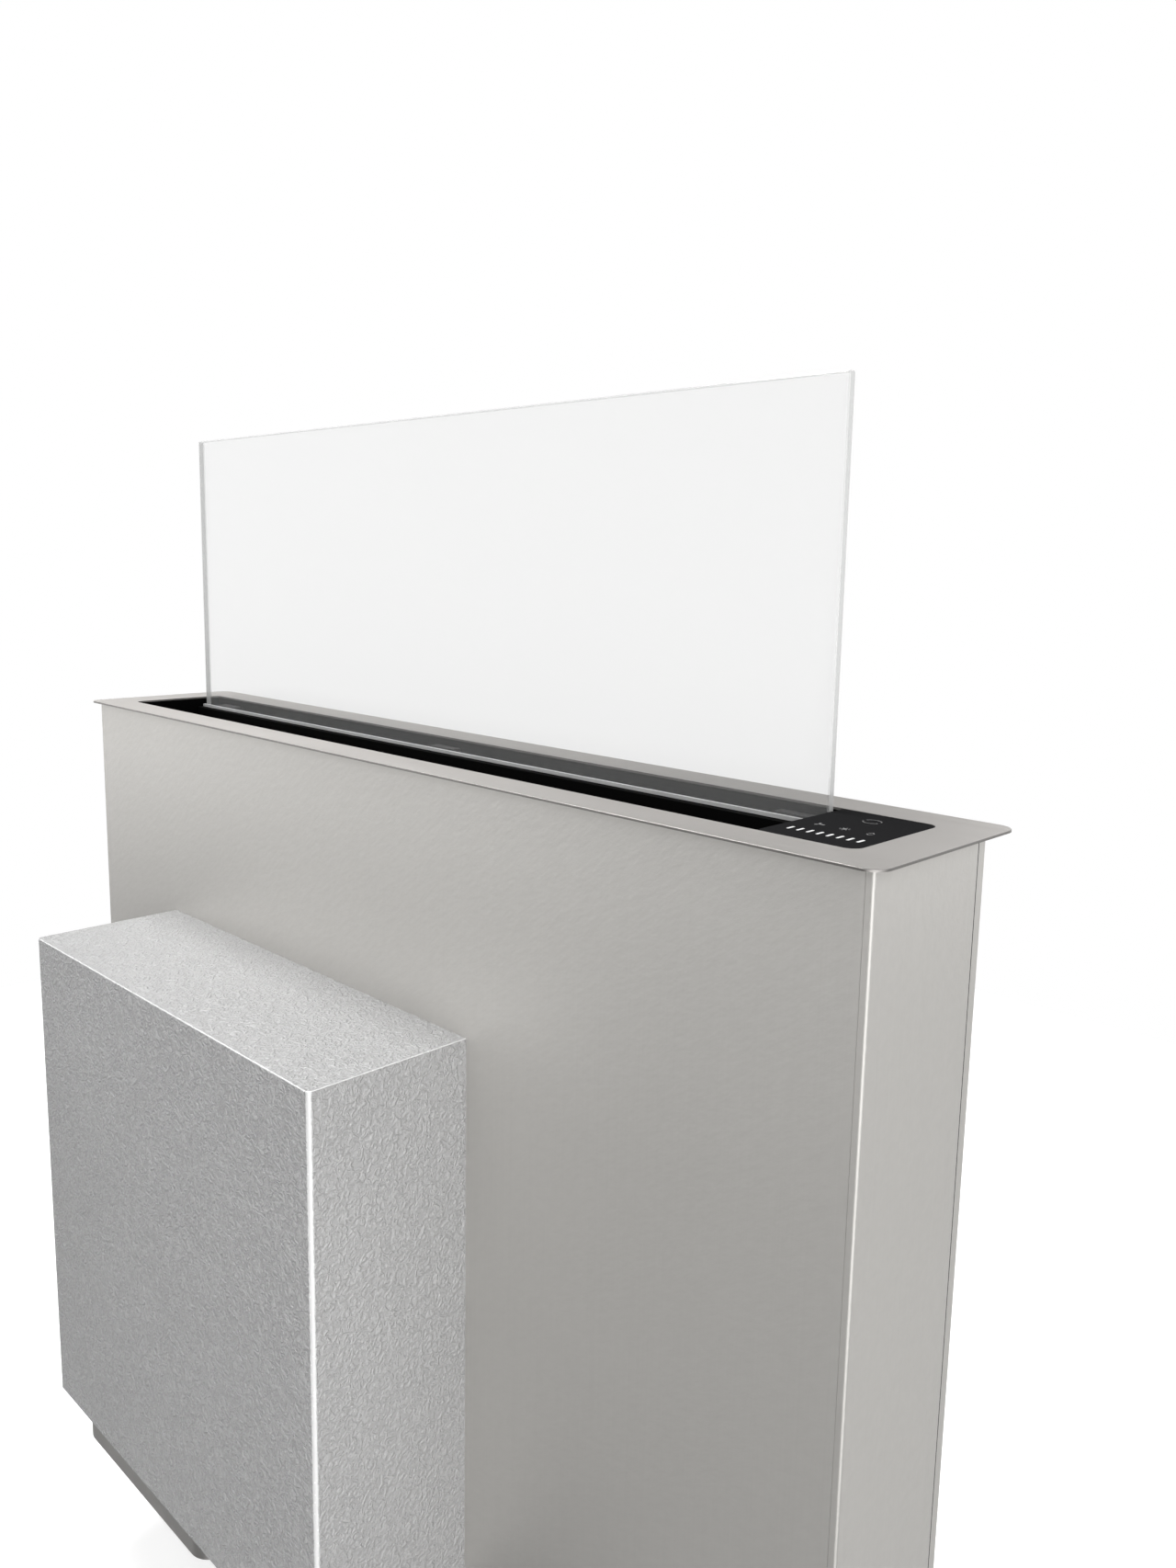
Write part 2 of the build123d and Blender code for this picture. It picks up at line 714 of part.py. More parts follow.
with BuildPart() as screw_bearings:
    for side, _ in sides:
        for bearing_inner, bearing_bottom in (
            (bearing_inner_upper, upper_bearing_bottom),
            (bearing_inner_lower, lower_bearing_bottom),
        ):
            end_box(side, (bearing_inner, bearing_front, bearing_bottom),
                    (bearing_outer, upright_face, bearing_bottom + bearing_height))
        with Locations((side * screw_axis_x, screw_axis_y, screw_top)):
            Cylinder(screw_radius + running_gap, 2 * (screw_top - screw_bottom), mode=Mode.SUBTRACT)
write(screw_bearings, "screw_bearings")

with BuildPart() as carriages:
    for side, _ in sides:
        end_box(side, (screw_axis_x - carriage_half_width, carriage_front, carriage_bottom),
                (screw_axis_x + carriage_half_width, carriage_back, carriage_top))
        end_box(side, (beam_half_length - carriage_tongue, clamp_front_front,
                       carriage_top - carriage_tongue_height),
                (screw_axis_x, clamp_rear_back, carriage_top))
        with Locations((side * screw_axis_x, screw_axis_y, (carriage_top + carriage_bottom) / 2)):
            Cylinder(nut_radius, 2 * carriage_height, mode=Mode.SUBTRACT)
        end_box(side, (screw_axis_x - rail_width / 2 - rail_gap, rail_face - rail_gap, carriage_bottom),
                (screw_axis_x + rail_width / 2 + rail_gap, carriage_back, carriage_top), mode=Mode.SUBTRACT)
write(carriages, "carriages")

for side, end in sides:
    axis_xy = (side * screw_axis_x, screw_axis_y)

    with BuildPart() as lead_screw:
        with Locations((*axis_xy, screw_bottom)):
            Cylinder(screw_radius, screw_top - screw_bottom, align=(Align.CENTER, Align.CENTER, Align.MIN))
        chamfer(lead_screw.edges().filter_by(GeomType.CIRCLE), screw_chamfer)
    write(lead_screw, f"lead_screw_{end}")

    with BuildPart() as screw_pulley:
        with Locations((*axis_xy, pulley_bottom)):
            Cylinder(pulley_radius, pulley_height, align=(Align.CENTER, Align.CENTER, Align.MIN))
            Cylinder(pulley_rim_radius, pulley_rim_height, align=(Align.CENTER, Align.CENTER, Align.MIN))
        with Locations((*axis_xy, pulley_top)):
            Cylinder(pulley_rim_radius, pulley_rim_height, align=(Align.CENTER, Align.CENTER, Align.MAX))
        with Locations((*axis_xy, (pulley_top + pulley_bottom) / 2)):
            Cylinder(screw_radius, 2 * pulley_height, mode=Mode.SUBTRACT)
    write(screw_pulley, f"screw_pulley_{end}")

with BuildPart() as lift_nuts:
    for side, _ in sides:
        with Locations((side * screw_axis_x, screw_axis_y, carriage_bottom)):
            Cylinder(nut_radius, nut_length, align=(Align.CENTER, Align.CENTER, Align.MIN))
            Cylinder(nut_flange_radius, nut_flange_height, align=(Align.CENTER, Align.CENTER, Align.MAX))
            Cylinder(screw_radius + running_gap, 2 * (nut_length + nut_flange_height), mode=Mode.SUBTRACT)
write(lift_nuts, "lift_nuts")

with BuildPart() as drive_belt:
    with BuildSketch(Plane.XY.offset(belt_bottom)):
        with Locations((0, screw_axis_y)):
            SlotCenterToCenter(2 * screw_axis_x, 2 * (pulley_radius + belt_gap + belt_thickness))
            SlotCenterToCenter(2 * screw_axis_x, 2 * (pulley_radius + belt_gap), mode=Mode.SUBTRACT)
    extrude(amount=belt_width)
write(drive_belt, "drive_belt")

with BuildPart() as motor_coupling:
    with Locations((-screw_axis_x, screw_axis_y, coupling_bottom)):
        Cylinder(coupling_radius, coupling_length, align=(Align.CENTER, Align.CENTER, Align.MIN))
    with Locations((-screw_axis_x, screw_axis_y, coupling_top)):
        Cylinder(screw_radius, 2 * coupling_grip, mode=Mode.SUBTRACT)
    with Locations((-screw_axis_x, screw_axis_y, motor_top - lift_motor_shaft_depth)):
        Cylinder(lift_motor_shaft_radius, screw_bottom - motor_top + lift_motor_shaft_depth,
                 align=(Align.CENTER, Align.CENTER, Align.MIN))
write(motor_coupling, "motor_coupling")

with BuildPart() as lift_motor:
    end_box(-1, (bearing_inner_lower, bearing_front, motor_top), (bearing_outer, upright_face, motor_plate_top))
    with Locations((-screw_axis_x, screw_axis_y, motor_top)):
        Cylinder(lift_motor_radius, lift_motor_length, align=(Align.CENTER, Align.CENTER, Align.MAX))
        Cylinder(lift_motor_shaft_radius + running_gap, 2 * (lift_motor_shaft_depth + running_gap),
                 mode=Mode.SUBTRACT)
write(lift_motor, "lift_motor")

# ==== Fan box ========================================================================================
with BuildPart() as fan_box:
    with BuildSketch(Plane.XY.offset(box_bottom + sheet)):
        with Locations((box_x, box_middle)):
            Rectangle(box_width, box_depth)
            fillet(vertices().group_by(Axis.Y)[0], box_round)
            Rectangle(box_width - 2 * sheet, box_depth - 2 * sheet, mode=Mode.SUBTRACT)
        with Locations((box_x, body_front)):
            Rectangle(box_width - 2 * box_flange, 4 * sheet, mode=Mode.SUBTRACT)
    extrude(amount=box_height - 2 * sheet)
    rods_along_y(box_screw_places, body_front, fixing_radius + fixing_hole_gap, 4 * sheet, mode=Mode.SUBTRACT)
write(fan_box, "fan_box")

with BuildPart() as fan_box_ends:
    for plate_bottom, lip_bottom in ((box_bottom, box_bottom + sheet), (box_top - sheet, box_top - box_flange)):
        with BuildSketch(Plane.XY.offset(plate_bottom)):
            with Locations((box_x, box_middle)):
                Rectangle(box_width, box_depth)
            fillet(vertices().group_by(Axis.Y)[0], box_round)
        extrude(amount=sheet)
        box_between((box_left + box_flange + sheet_gap, body_front - sheet, lip_bottom),
                    (box_right - box_flange - sheet_gap, body_front, lip_bottom + box_flange - sheet))
    for outer_face in (fan_box_ends.faces().sort_by(Axis.Z)[0], fan_box_ends.faces().sort_by(Axis.Z)[-1]):
        fillet(outer_face.edges().filter_by(lambda edge: edge.center().Y < body_front - 0.01), box_edge_round)
    with BuildSketch(Plane.XY.offset(box_bottom)):
        with Locations((spigot_x, box_middle)):
            RectangleRounded(spigot_length + 2 * spigot_hole_gap, spigot_depth + 2 * spigot_hole_gap,
                             spigot_corner + spigot_hole_gap)
        with Locations((gland_x, gland_y)):
            Circle(gland_thread_radius + spigot_hole_gap)
    extrude(amount=sheet, mode=Mode.SUBTRACT)
write(fan_box_ends, "fan_box_ends")

with BuildPart() as duct_spigot:
    with BuildSketch(Plane.XY.offset(spigot_bottom)):
        with Locations((spigot_x, box_middle)):
            RectangleRounded(spigot_length, spigot_depth, spigot_corner)
    extrude(amount=spigot_rim_top - spigot_bottom)
    box_between((spigot_left - spigot_rim_side, box_middle - spigot_depth / 2 - spigot_rim, box_bottom + sheet),
                (scroll_right + spigot_rim_side, box_middle + spigot_depth / 2 + spigot_rim, spigot_rim_top))
    with BuildSketch(Plane.XY.offset(spigot_bottom)):
        with Locations((spigot_x, box_middle)):
            RectangleRounded(spigot_length - 2 * spigot_wall, spigot_depth - 2 * spigot_wall,
                             spigot_corner - spigot_wall)
    extrude(amount=spigot_rim_top - spigot_bottom, mode=Mode.SUBTRACT)
    with Locations([(spigot_x, box_middle + flap_side * flap_pin_spread, flap_z) for flap_side in (-1, 1)]):
        Cylinder(flap_pin_radius + running_gap, spigot_length - 2 * spigot_wall + 2 * flap_pin_seat,
                 rotation=(0, 90, 0), mode=Mode.SUBTRACT)
write(duct_spigot, "duct_spigot")

with BuildPart() as flap_pins:
    with Locations([(spigot_x, box_middle + flap_side * flap_pin_spread, flap_z) for flap_side in (-1, 1)]):
        Cylinder(flap_pin_radius, spigot_length - 2 * spigot_wall + 2 * (flap_pin_seat - running_gap),
                 rotation=(0, 90, 0))
write(flap_pins, "flap_pins")

for flap_side, end in ((-1, "front"), (1, "rear")):
    pin_y = box_middle + flap_side * flap_pin_spread
    with BuildPart() as flap:
        with BuildSketch(Plane.XY.offset(flap_z - flap_thickness / 2)):
            with Locations((spigot_x, box_middle)):
                RectangleRounded(flap_length, spigot_depth - 2 * (spigot_wall + flap_edge_gap),
                                 spigot_corner - spigot_wall)
                with Locations((0, flap_side * (flap_pin_spread - spigot_depth / 2))):
                    Rectangle(spigot_length, spigot_depth, mode=Mode.SUBTRACT)
        extrude(amount=flap_thickness)
        with Locations((spigot_x, pin_y, flap_z)):
            Cylinder(flap_barrel_radius, flap_length, rotation=(0, 90, 0))
            Cylinder(flap_pin_radius + running_gap, 2 * spigot_length, rotation=(0, 90, 0),
                     mode=Mode.SUBTRACT)
            Box(flap_spring_length + 2 * flap_spring_gap, 2 * (flap_barrel_radius + flap_spring_gap),
                2 * (flap_barrel_radius + flap_spring_gap), mode=Mode.SUBTRACT)
    write(flap, f"flap_{end}")

    with BuildPart() as flap_spring:
        with Locations((spigot_x, pin_y, flap_z)):
            Cylinder(flap_spring_radius, flap_spring_length, rotation=(0, 90, 0))
            Cylinder(flap_spring_bore, 2 * flap_spring_length, rotation=(0, 90, 0), mode=Mode.SUBTRACT)
        leg_near, leg_far = sorted((pin_y + flap_side * flap_spring_bore, pin_y + flap_side * flap_spring_leg))
        leg_right = spigot_x + flap_spring_length / 2
        leg_top = flap_z - flap_thickness / 2
        box_between((leg_right - flap_spring_wire, leg_near, leg_top - flap_spring_wire),
                    (leg_right, leg_far, leg_top))
    write(flap_spring, f"flap_spring_{end}")


def scroll_outline(inset, end_z):
    """The edges of the fan housing's spiral outline down to its outlet, moved inwards by inset."""
    half_step = scroll_growth / 2
    first_radius = scroll_start_radius - inset
    second_radius = first_radius + scroll_growth
    third_radius = second_radius + scroll_growth
    with BuildLine() as outline:
        first = CenterArc((blower_x + half_step, blower_z + half_step), first_radius, -90, 90)
        CenterArc((blower_x - half_step, blower_z + half_step), second_radius, 0, 90)
        third = CenterArc((blower_x - half_step, blower_z - half_step), third_radius, 90, 90)
        Polyline(third @ 1, ((third @ 1).X, end_z), (scroll_right - inset, end_z), first @ 0)
    return outline.edges()


with BuildPart() as fan_scroll:
    with BuildSketch(front_plane(scroll_back)):
        make_face(scroll_outline(0, scroll_bottom))
    extrude(amount=scroll_back - scroll_front)
    with BuildSketch(front_plane(scroll_back - scroll_wall)):
        make_face(scroll_outline(scroll_wall, scroll_bottom - 2 * scroll_wall))
    extrude(amount=scroll_back - scroll_front - 2 * scroll_wall, mode=Mode.SUBTRACT)
    with BuildSketch(front_plane(scroll_back)):
        with Locations((blower_x, blower_z)):
            Circle(scroll_inlet_radius)
    extrude(amount=scroll_wall, mode=Mode.SUBTRACT)
write(fan_scroll, "fan_scroll")


def fan_profile(points):
    """A solid of revolution about the fan's axis, from (radius, y) points."""
    with BuildSketch(Plane((blower_x, 0, blower_z))) as profile:
        with BuildLine():
            Polyline(points, close=True)
        make_face()
    revolve(profile.sketch, axis=fan_axis)


with BuildPart() as fan_inlet_ring:
    throat_y = body_front - inlet_reach
    fan_profile([
        (inlet_panel_radius + inlet_rim, body_front),
        (inlet_panel_radius - inlet_wall, body_front),
        (inlet_throat_radius, throat_y + inlet_rim),
        (inlet_throat_radius, throat_y),
        (inlet_throat_radius + inlet_wall, throat_y),
        (inlet_throat_radius + inlet_wall, throat_y + inlet_rim),
        (inlet_panel_radius, body_front - inlet_wall),
        (inlet_panel_radius + inlet_rim, body_front - inlet_wall),
    ])
write(fan_inlet_ring, "fan_inlet_ring")

with BuildPart() as fan_stator:
    fan_profile([
        (fan_shaft_radius + running_gap, stator_front),
        (stator_plate_radius, stator_front),
        (stator_plate_radius, stator_front + stator_plate),
        (stator_radius, stator_front + stator_plate),
        (stator_radius, stator_front + stator_length),
        (fan_shaft_radius + running_gap, stator_front + stator_length),
    ])
write(fan_stator, "fan_stator")

with BuildPart() as fan_shaft:
    fan_profile([
        (0, stator_front + stator_plate),
        (fan_shaft_radius, stator_front + stator_plate),
        (fan_shaft_radius, rotor_back + fan_shaft_end),
        (0, rotor_back + fan_shaft_end),
    ])
write(fan_shaft, "fan_shaft")

with BuildPart() as fan_rotor:
    fan_profile([
        (fan_shaft_radius, rotor_back),
        (rotor_radius, rotor_back),
        (rotor_radius, rotor_front),
        (rotor_radius - rotor_wall, rotor_front),
        (rotor_radius - rotor_wall, rotor_back - rotor_wall),
        (fan_shaft_radius, rotor_back - rotor_wall),
    ])
write(fan_rotor, "fan_rotor")

with BuildPart() as fan_wheel:
    fan_profile([
        (rotor_radius, wheel_front),
        (wheel_radius, wheel_front),
        (wheel_radius, wheel_front + wheel_ring),
        (rotor_radius + wheel_ring, wheel_front + wheel_ring),
        (rotor_radius + wheel_ring, rotor_back),
        (rotor_radius, rotor_back),
    ])
    fan_profile([
        (wheel_radius - wheel_blade, wheel_back - wheel_ring),
        (wheel_radius, wheel_back - wheel_ring),
        (wheel_radius, wheel_back),
        (wheel_radius - wheel_blade, wheel_back),
    ])
    with BuildSketch(front_plane(wheel_back - wheel_ring / 2)):
        with Locations((blower_x, blower_z)):
            with PolarLocations(wheel_radius - wheel_blade / 2, wheel_blade_count):
                Rectangle(wheel_blade, wheel_blade_thickness, rotation=wheel_blade_angle)
    extrude(amount=wheel_width - wheel_ring)
write(fan_wheel, "fan_wheel")

with BuildPart() as fan_mounts:
    with Locations(front_plane(scroll_front)):
        with Locations((blower_x, blower_z)):
            with GridLocations(2 * mount_spread_x, 2 * mount_spread_z, 2, 2):
                Cylinder(mount_radius, scroll_front - box_front - sheet,
                         align=(Align.CENTER, Align.CENTER, Align.MIN))
write(fan_mounts, "fan_mounts")

with BuildPart() as control_unit:
    box_between((unit_left, body_front - unit_depth, unit_top - unit_height),
                (unit_left + unit_width, body_front, unit_top))
    fillet(control_unit.edges().filter_by(Axis.Y), unit_corner)
    box_between((unit_left + unit_wall, body_front - unit_depth + unit_wall,
                 unit_top - unit_height + unit_wall),
                (unit_left + unit_width - unit_wall, body_front - unit_wall, unit_top - unit_wall),
                mode=Mode.SUBTRACT)
write(control_unit, "control_unit")

with BuildPart() as power_board:
    board_back = body_front - unit_wall - power_board_stand
    board_left = unit_left + unit_wall + power_board_gap
    board_right = unit_left + unit_width - unit_wall - power_board_gap
    board_low = unit_top - unit_height + unit_wall + power_board_gap
    board_high = unit_top - unit_wall - power_board_gap
    box_between((board_left, board_back - board_thickness, board_low), (board_right, board_back, board_high))
    rods_along_y([(x, z)
                  for x in (board_left + power_board_post_inset, board_right - power_board_post_inset)
                  for z in (board_low + power_board_post_inset, board_high - power_board_post_inset)],
                 board_back + power_board_stand / 2, board_post_radius, power_board_stand)
    transformer_left = (board_left + board_right - transformer_width) / 2
    transformer_top = board_high - transformer_drop
    box_between((transformer_left, board_back - board_thickness - transformer_depth,
                 transformer_top - transformer_height),
                (transformer_left + transformer_width, board_back - board_thickness, transformer_top))
write(power_board, "power_board")

with BuildPart() as terminal_box:
    box_between((gland_x - terminal_width / 2, body_front - terminal_depth, terminal_top - terminal_height),
                (gland_x + terminal_width / 2, body_front, terminal_top))
    fillet(terminal_box.edges().filter_by(Axis.Y), unit_corner)
    box_between((gland_x - terminal_width / 2 + unit_wall, body_front - terminal_depth + unit_wall,
                 terminal_top - terminal_height + unit_wall),
                (gland_x + terminal_width / 2 - unit_wall, body_front - unit_wall, terminal_top - unit_wall),
                mode=Mode.SUBTRACT)
write(terminal_box, "terminal_box")

with BuildPart() as run_capacitor:
    with Locations((capacitor_x, body_front - capacitor_radius - capacitor_strap, capacitor_top)):
        Cylinder(capacitor_radius, capacitor_length, align=(Align.CENTER, Align.CENTER, Align.MAX))
    strap_middle = capacitor_top - capacitor_length / 2
    box_between((capacitor_x - capacitor_radius, body_front - capacitor_radius,
                 strap_middle - capacitor_radius / 2),
                (capacitor_x + capacitor_radius, body_front, strap_middle + capacitor_radius / 2))
write(run_capacitor, "run_capacitor")

with BuildPart() as cable_gland:
    with Locations((gland_x, gland_y, box_bottom - gland_reach_out)):
        Cylinder(gland_thread_radius, gland_reach_out + sheet + gland_reach_in,
                 align=(Align.CENTER, Align.CENTER, Align.MIN))
    for nut_base in (box_bottom - gland_nut_height, box_bottom + sheet):
        with BuildSketch(Plane.XY.offset(nut_base)):
            with Locations((gland_x, gland_y)):
                RegularPolygon(gland_nut_radius, 6)
        extrude(amount=gland_nut_height)
    with Locations((gland_x, gland_y, box_bottom)):
        Cylinder(gland_bore, 4 * gland_reach_out, mode=Mode.SUBTRACT)
write(cable_gland, "cable_gland")

# ==== Floor brackets and fasteners ===================================================================
with BuildPart() as floor_brackets:
    for side, _ in sides:
        end_box(side, (half_width, bracket_front, bracket_bottom),
                (half_width + bracket_thickness, bracket_back, bracket_top))
        end_box(side, (half_width, bracket_front, bracket_bottom),
                (half_width + bracket_reach, bracket_back, bracket_bottom + bracket_thickness))
    with BuildSketch(Plane.XY.offset(bracket_bottom)):
        with Locations((0, bracket_middle)):
            with GridLocations(2 * bracket_slot_x, bracket_slot_spacing, 2, 2):
                SlotOverall(bracket_slot_length, bracket_slot_width, rotation=90)
    extrude(amount=bracket_thickness, mode=Mode.SUBTRACT)
    rods_along_x(bracket_screw_places, 0, fixing_radius + fixing_hole_gap, 2 * (half_width + bracket_reach),
                 mode=Mode.SUBTRACT)
write(floor_brackets, "floor_brackets")

with BuildPart() as panel_screws:
    cover_places = [(side * (half_width - cover_screw_side), z) for side, _ in sides for z in cover_screw_rows]
    grip = 2 * sheet + sheet_gap + fixing_grip
    rods_along_y(cover_places, body_rear - grip / 2, fixing_radius, grip)
    rods_along_y(cover_places, body_rear + fixing_head_height / 2, fixing_head_radius, fixing_head_height)
    rods_along_y(box_screw_places, inner_front - box_screw_length / 2, fixing_radius, box_screw_length)
    rods_along_y(box_screw_places, inner_front + fixing_head_height / 2, fixing_head_radius, fixing_head_height)
    for side, _ in sides:
        seat = half_width + bracket_thickness
        rods_along_x(bracket_screw_places, side * (seat - bracket_screw_length / 2), fixing_radius,
                     bracket_screw_length)
        rods_along_x(bracket_screw_places, side * (seat + fixing_head_height / 2), fixing_head_radius,
                     fixing_head_height)
write(panel_screws, "panel_screws")
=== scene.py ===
import math

import bmesh
import bpy
from bpy.props import FloatProperty, FloatVectorProperty, IntProperty, PointerProperty
from mathutils import Matrix, Vector


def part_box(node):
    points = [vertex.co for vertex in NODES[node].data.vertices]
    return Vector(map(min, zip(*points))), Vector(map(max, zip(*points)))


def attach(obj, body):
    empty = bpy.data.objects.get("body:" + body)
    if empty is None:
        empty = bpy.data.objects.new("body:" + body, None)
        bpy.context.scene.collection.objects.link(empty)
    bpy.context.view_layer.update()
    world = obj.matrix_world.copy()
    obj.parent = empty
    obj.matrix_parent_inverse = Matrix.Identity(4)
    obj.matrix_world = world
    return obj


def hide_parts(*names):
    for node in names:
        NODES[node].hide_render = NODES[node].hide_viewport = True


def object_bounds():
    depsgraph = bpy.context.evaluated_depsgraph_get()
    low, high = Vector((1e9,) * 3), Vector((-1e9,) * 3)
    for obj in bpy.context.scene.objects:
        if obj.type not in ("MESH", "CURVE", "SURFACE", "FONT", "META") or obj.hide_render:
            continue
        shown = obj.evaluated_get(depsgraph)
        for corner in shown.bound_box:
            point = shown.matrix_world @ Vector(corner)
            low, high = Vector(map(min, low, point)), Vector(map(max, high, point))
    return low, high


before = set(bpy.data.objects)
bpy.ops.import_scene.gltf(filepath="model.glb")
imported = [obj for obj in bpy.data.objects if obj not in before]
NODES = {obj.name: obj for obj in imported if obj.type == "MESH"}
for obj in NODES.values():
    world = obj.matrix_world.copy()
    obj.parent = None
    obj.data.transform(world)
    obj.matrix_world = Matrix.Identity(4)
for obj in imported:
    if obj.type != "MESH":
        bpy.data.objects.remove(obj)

bl_info = {
    "name": "Downdraft Vent",
    "version": (1, 0, 0),
    "blender": (4, 5, 0),
    "location": "3D View > Sidebar > Downdraft Vent",
    "description": "Dresses the packed model of a worktop downdraft vent and sets the stage for it",
    "category": "Object",
}

CAD_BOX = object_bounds()
MM = 0.001
BOARD_THICKNESS = 1.6 * MM


# ---- Settings ---------------------------------------------------------------------------------------
def colour_setting(name, description, value):
    """A colour that the sidebar shows as a swatch."""
    return FloatVectorProperty(name=name, description=description, default=value, subtype="COLOR",
                               size=3, min=0.0, max=1.0)


def length_setting(name, description, value):
    """A length in metres that the sidebar shows with its unit."""
    return FloatProperty(name=name, description=description, default=value, min=0.0, precision=5,
                         unit="LENGTH")


def factor_setting(name, description, value):
    """A number from 0 to 1 that the sidebar shows as a slider."""
    return FloatProperty(name=name, description=description, default=value, min=0.0, max=1.0,
                         subtype="FACTOR")


def power_setting(name, description, value):
    """The power of a lamp in watts."""
    return FloatProperty(name=name, description=description, default=value, min=0.0, unit="POWER")


class SheetSettings(bpy.types.PropertyGroup):
    """Finishes of the flange, the body and the fan box."""
    flange_colour: colour_setting("Flange", "Colour of the brushed flange", (0.53, 0.51, 0.49))
    body_colour: colour_setting("Body", "Colour of the body's brushed panels", (0.515, 0.503, 0.482))
    box_colour: colour_setting("Fan Box", "Colour of the embossed fan box", (0.345, 0.345, 0.345))
    # Painted highlight: the fan box's folds are coloured brighter than its faces by this gain
    fold_highlight_gain: FloatProperty(name="Fold Gain", default=1.8, min=1.0, max=2.5,
                             description="How much brighter the fan box's rubbed folds are than its faces")
    zinc_colour: colour_setting("Galvanised", "Colour of the plain galvanised sheets", (0.40, 0.39, 0.38))
    brush_depth: factor_setting("Brushing", "How deep the brushing on the flange looks", 0.08)
    stroke_depth: factor_setting("Strokes", "How deep the short strokes on the body look", 0.26)
    lump_size: length_setting("Lump Size", "Width of one embossed lump on the fan box", 0.003)
    lump_depth: factor_setting("Lump Depth", "How deep the embossing on the fan box looks", 1.0)


class GlassSettings(bpy.types.PropertyGroup):
    """The glass screen, the touch control and its printed marks."""
    # The veil is a painted reflection: a pale matt colour that stands in for what the glass mirrors
    reflection_veil_colour: colour_setting("Veil", "Colour of the pale veil that the screen's faces show",
                                (0.37, 0.373, 0.37))
    face_density: factor_setting("Face Density", "Share of the light that a face of the screen stops",
                                 0.135)
    edge_density: factor_setting("Edge Density", "Share of the light that an upright edge stops", 0.85)
    control_colour: colour_setting("Touch Control", "Colour of the black control glass",
                                   (0.0125, 0.0125, 0.013))
    bar_colour: colour_setting("Slider Bars", "Colour of the bars of the speed slider", (0.58, 0.58, 0.58))
    sign_colour: colour_setting("Signs", "Colour of the three small signs and the ring", (0.17, 0.17, 0.17))
    bar_count: IntProperty(name="Slider Bars", description="How many bars the speed slider has",
                           default=8, min=1, max=20)
    bar_pitch: length_setting("Bar Pitch", "Distance from one slider bar to the next", 0.0064)
    bar_length: length_setting("Bar Length", "Length of a slider bar", 0.007)


class FilterSettings(bpy.types.PropertyGroup):
    """The wire mesh of the grease filters."""
    wire_pitch: length_setting("Wire Pitch", "Distance from one wire to the next", 0.0034)
    wire_radius: length_setting("Wire Radius", "Radius of one wire", 0.0007)
    layers: IntProperty(name="Layers", description="How many layers of mesh lie on each other", default=2,
                        min=1, max=4)


class DriveSettings(bpy.types.PropertyGroup):
    """Threads and teeth of the lift drive."""
    lead: length_setting("Lead", "Travel of a nut in one turn of its screw", 0.008)
    starts: IntProperty(name="Starts", description="How many threads run side by side on a screw",
                        default=4, min=1, max=6)
    thread_depth: length_setting("Thread Depth", "Height of the thread on its core", 0.0009)
    pulley_teeth: IntProperty(name="Pulley Teeth", description="Teeth round one pulley", default=16,
                              min=8, max=40)
    tooth_height: length_setting("Tooth Height", "Height of a tooth of the belt or a pulley", 0.0009)


class FittingSettings(bpy.types.PropertyGroup):
    """Screws, springs, the cable gland, the motors and the boards."""
    recess_width: factor_setting("Recess", "Width of a screw's recess as a share of its head", 0.55)
    spring_turns: IntProperty(name="Spring Turns", description="Turns of a flap's return spring",
                              default=12, min=3, max=20)
    gland_ribs: IntProperty(name="Gland Ribs", description="Grip ribs round the cable gland's nut",
                            default=20, min=6, max=40)
    coil_count: IntProperty(name="Coils", description="Copper coils round the fan's stator", default=12,
                            min=3, max=24)


class StageSettings(bpy.types.PropertyGroup):
    """Floor, background and lamps."""
    floor_colour: colour_setting("Floor", "Colour of the plain floor", (0.80, 0.80, 0.80))
    floor_reach: length_setting("Floor Reach", "How far the floor goes to each side", 1.8)
    floor_glow: factor_setting("Floor Glow", "How far the floor is lifted to white for the camera", 0.55)
    ambient: factor_setting("Ambient", "Strength of the even light from all sides", 0.08)
    left_wall: factor_setting("Left Wall", "Strength of the pale wall at the left", 0.50)
    far_floor: factor_setting("Far Floor", "Strength of the pale floor behind, as the part mirrors it", 0.42)
    key_power: power_setting("Key Lamp", "Power of the soft lamp above the front", 6.0)
    side_power: power_setting("Side Lamp", "Power of the large soft lamp at the front left", 25.0)
    top_power: power_setting("Top Lamp", "Power of the soft lamp above the worktop", 46.0)
    fill_power: power_setting("Fill Lamp", "Power of the large soft lamp at the right", 112.0)
    back_power: power_setting("Back Lamp", "Power of the large soft lamp behind the vent", 46.0)
    low_power: power_setting("Low Lamp", "Power of the soft lamp low at the front right", 36.0)


# ---- Nodes ------------------------------------------------------------------------------------------
class Nodes:
    """Adds nodes to a tree: of a material, of the world or of Geometry Nodes."""

    def __init__(self, tree):
        self.tree = tree

    def feed(self, target, value):
        """Links value to target if it is a socket, and sets it otherwise."""
        if isinstance(value, bpy.types.NodeSocket):
            self.tree.links.new(value, target)
        else:
            target.default_value = value

    def node(self, kind, inputs=(), **settings):
        """A new node with its settings and inputs."""
        made = self.tree.nodes.new(kind)
        for setting, value in settings.items():
            setattr(made, setting, value)
        for socket, value in dict(inputs).items():
            self.feed(made.inputs[socket], value)
        return made

    def out(self, kind, inputs=(), **settings):
        """The first output of a new node."""
        return self.node(kind, inputs, **settings).outputs[0]

    def math(self, operation, first, second=0.0):
        """The result of a Math node."""
        return self.out("ShaderNodeMath", {0: first, 1: second}, operation=operation)

    def seen(self, *kinds):
        """1 for rays of these kinds, and otherwise 0."""
        rays = self.node("ShaderNodeLightPath").outputs
        total = rays[f"Is {kinds[0]} Ray"]
        for kind in kinds[1:]:
            total = self.math("MAXIMUM", total, rays[f"Is {kind} Ray"])
        return total


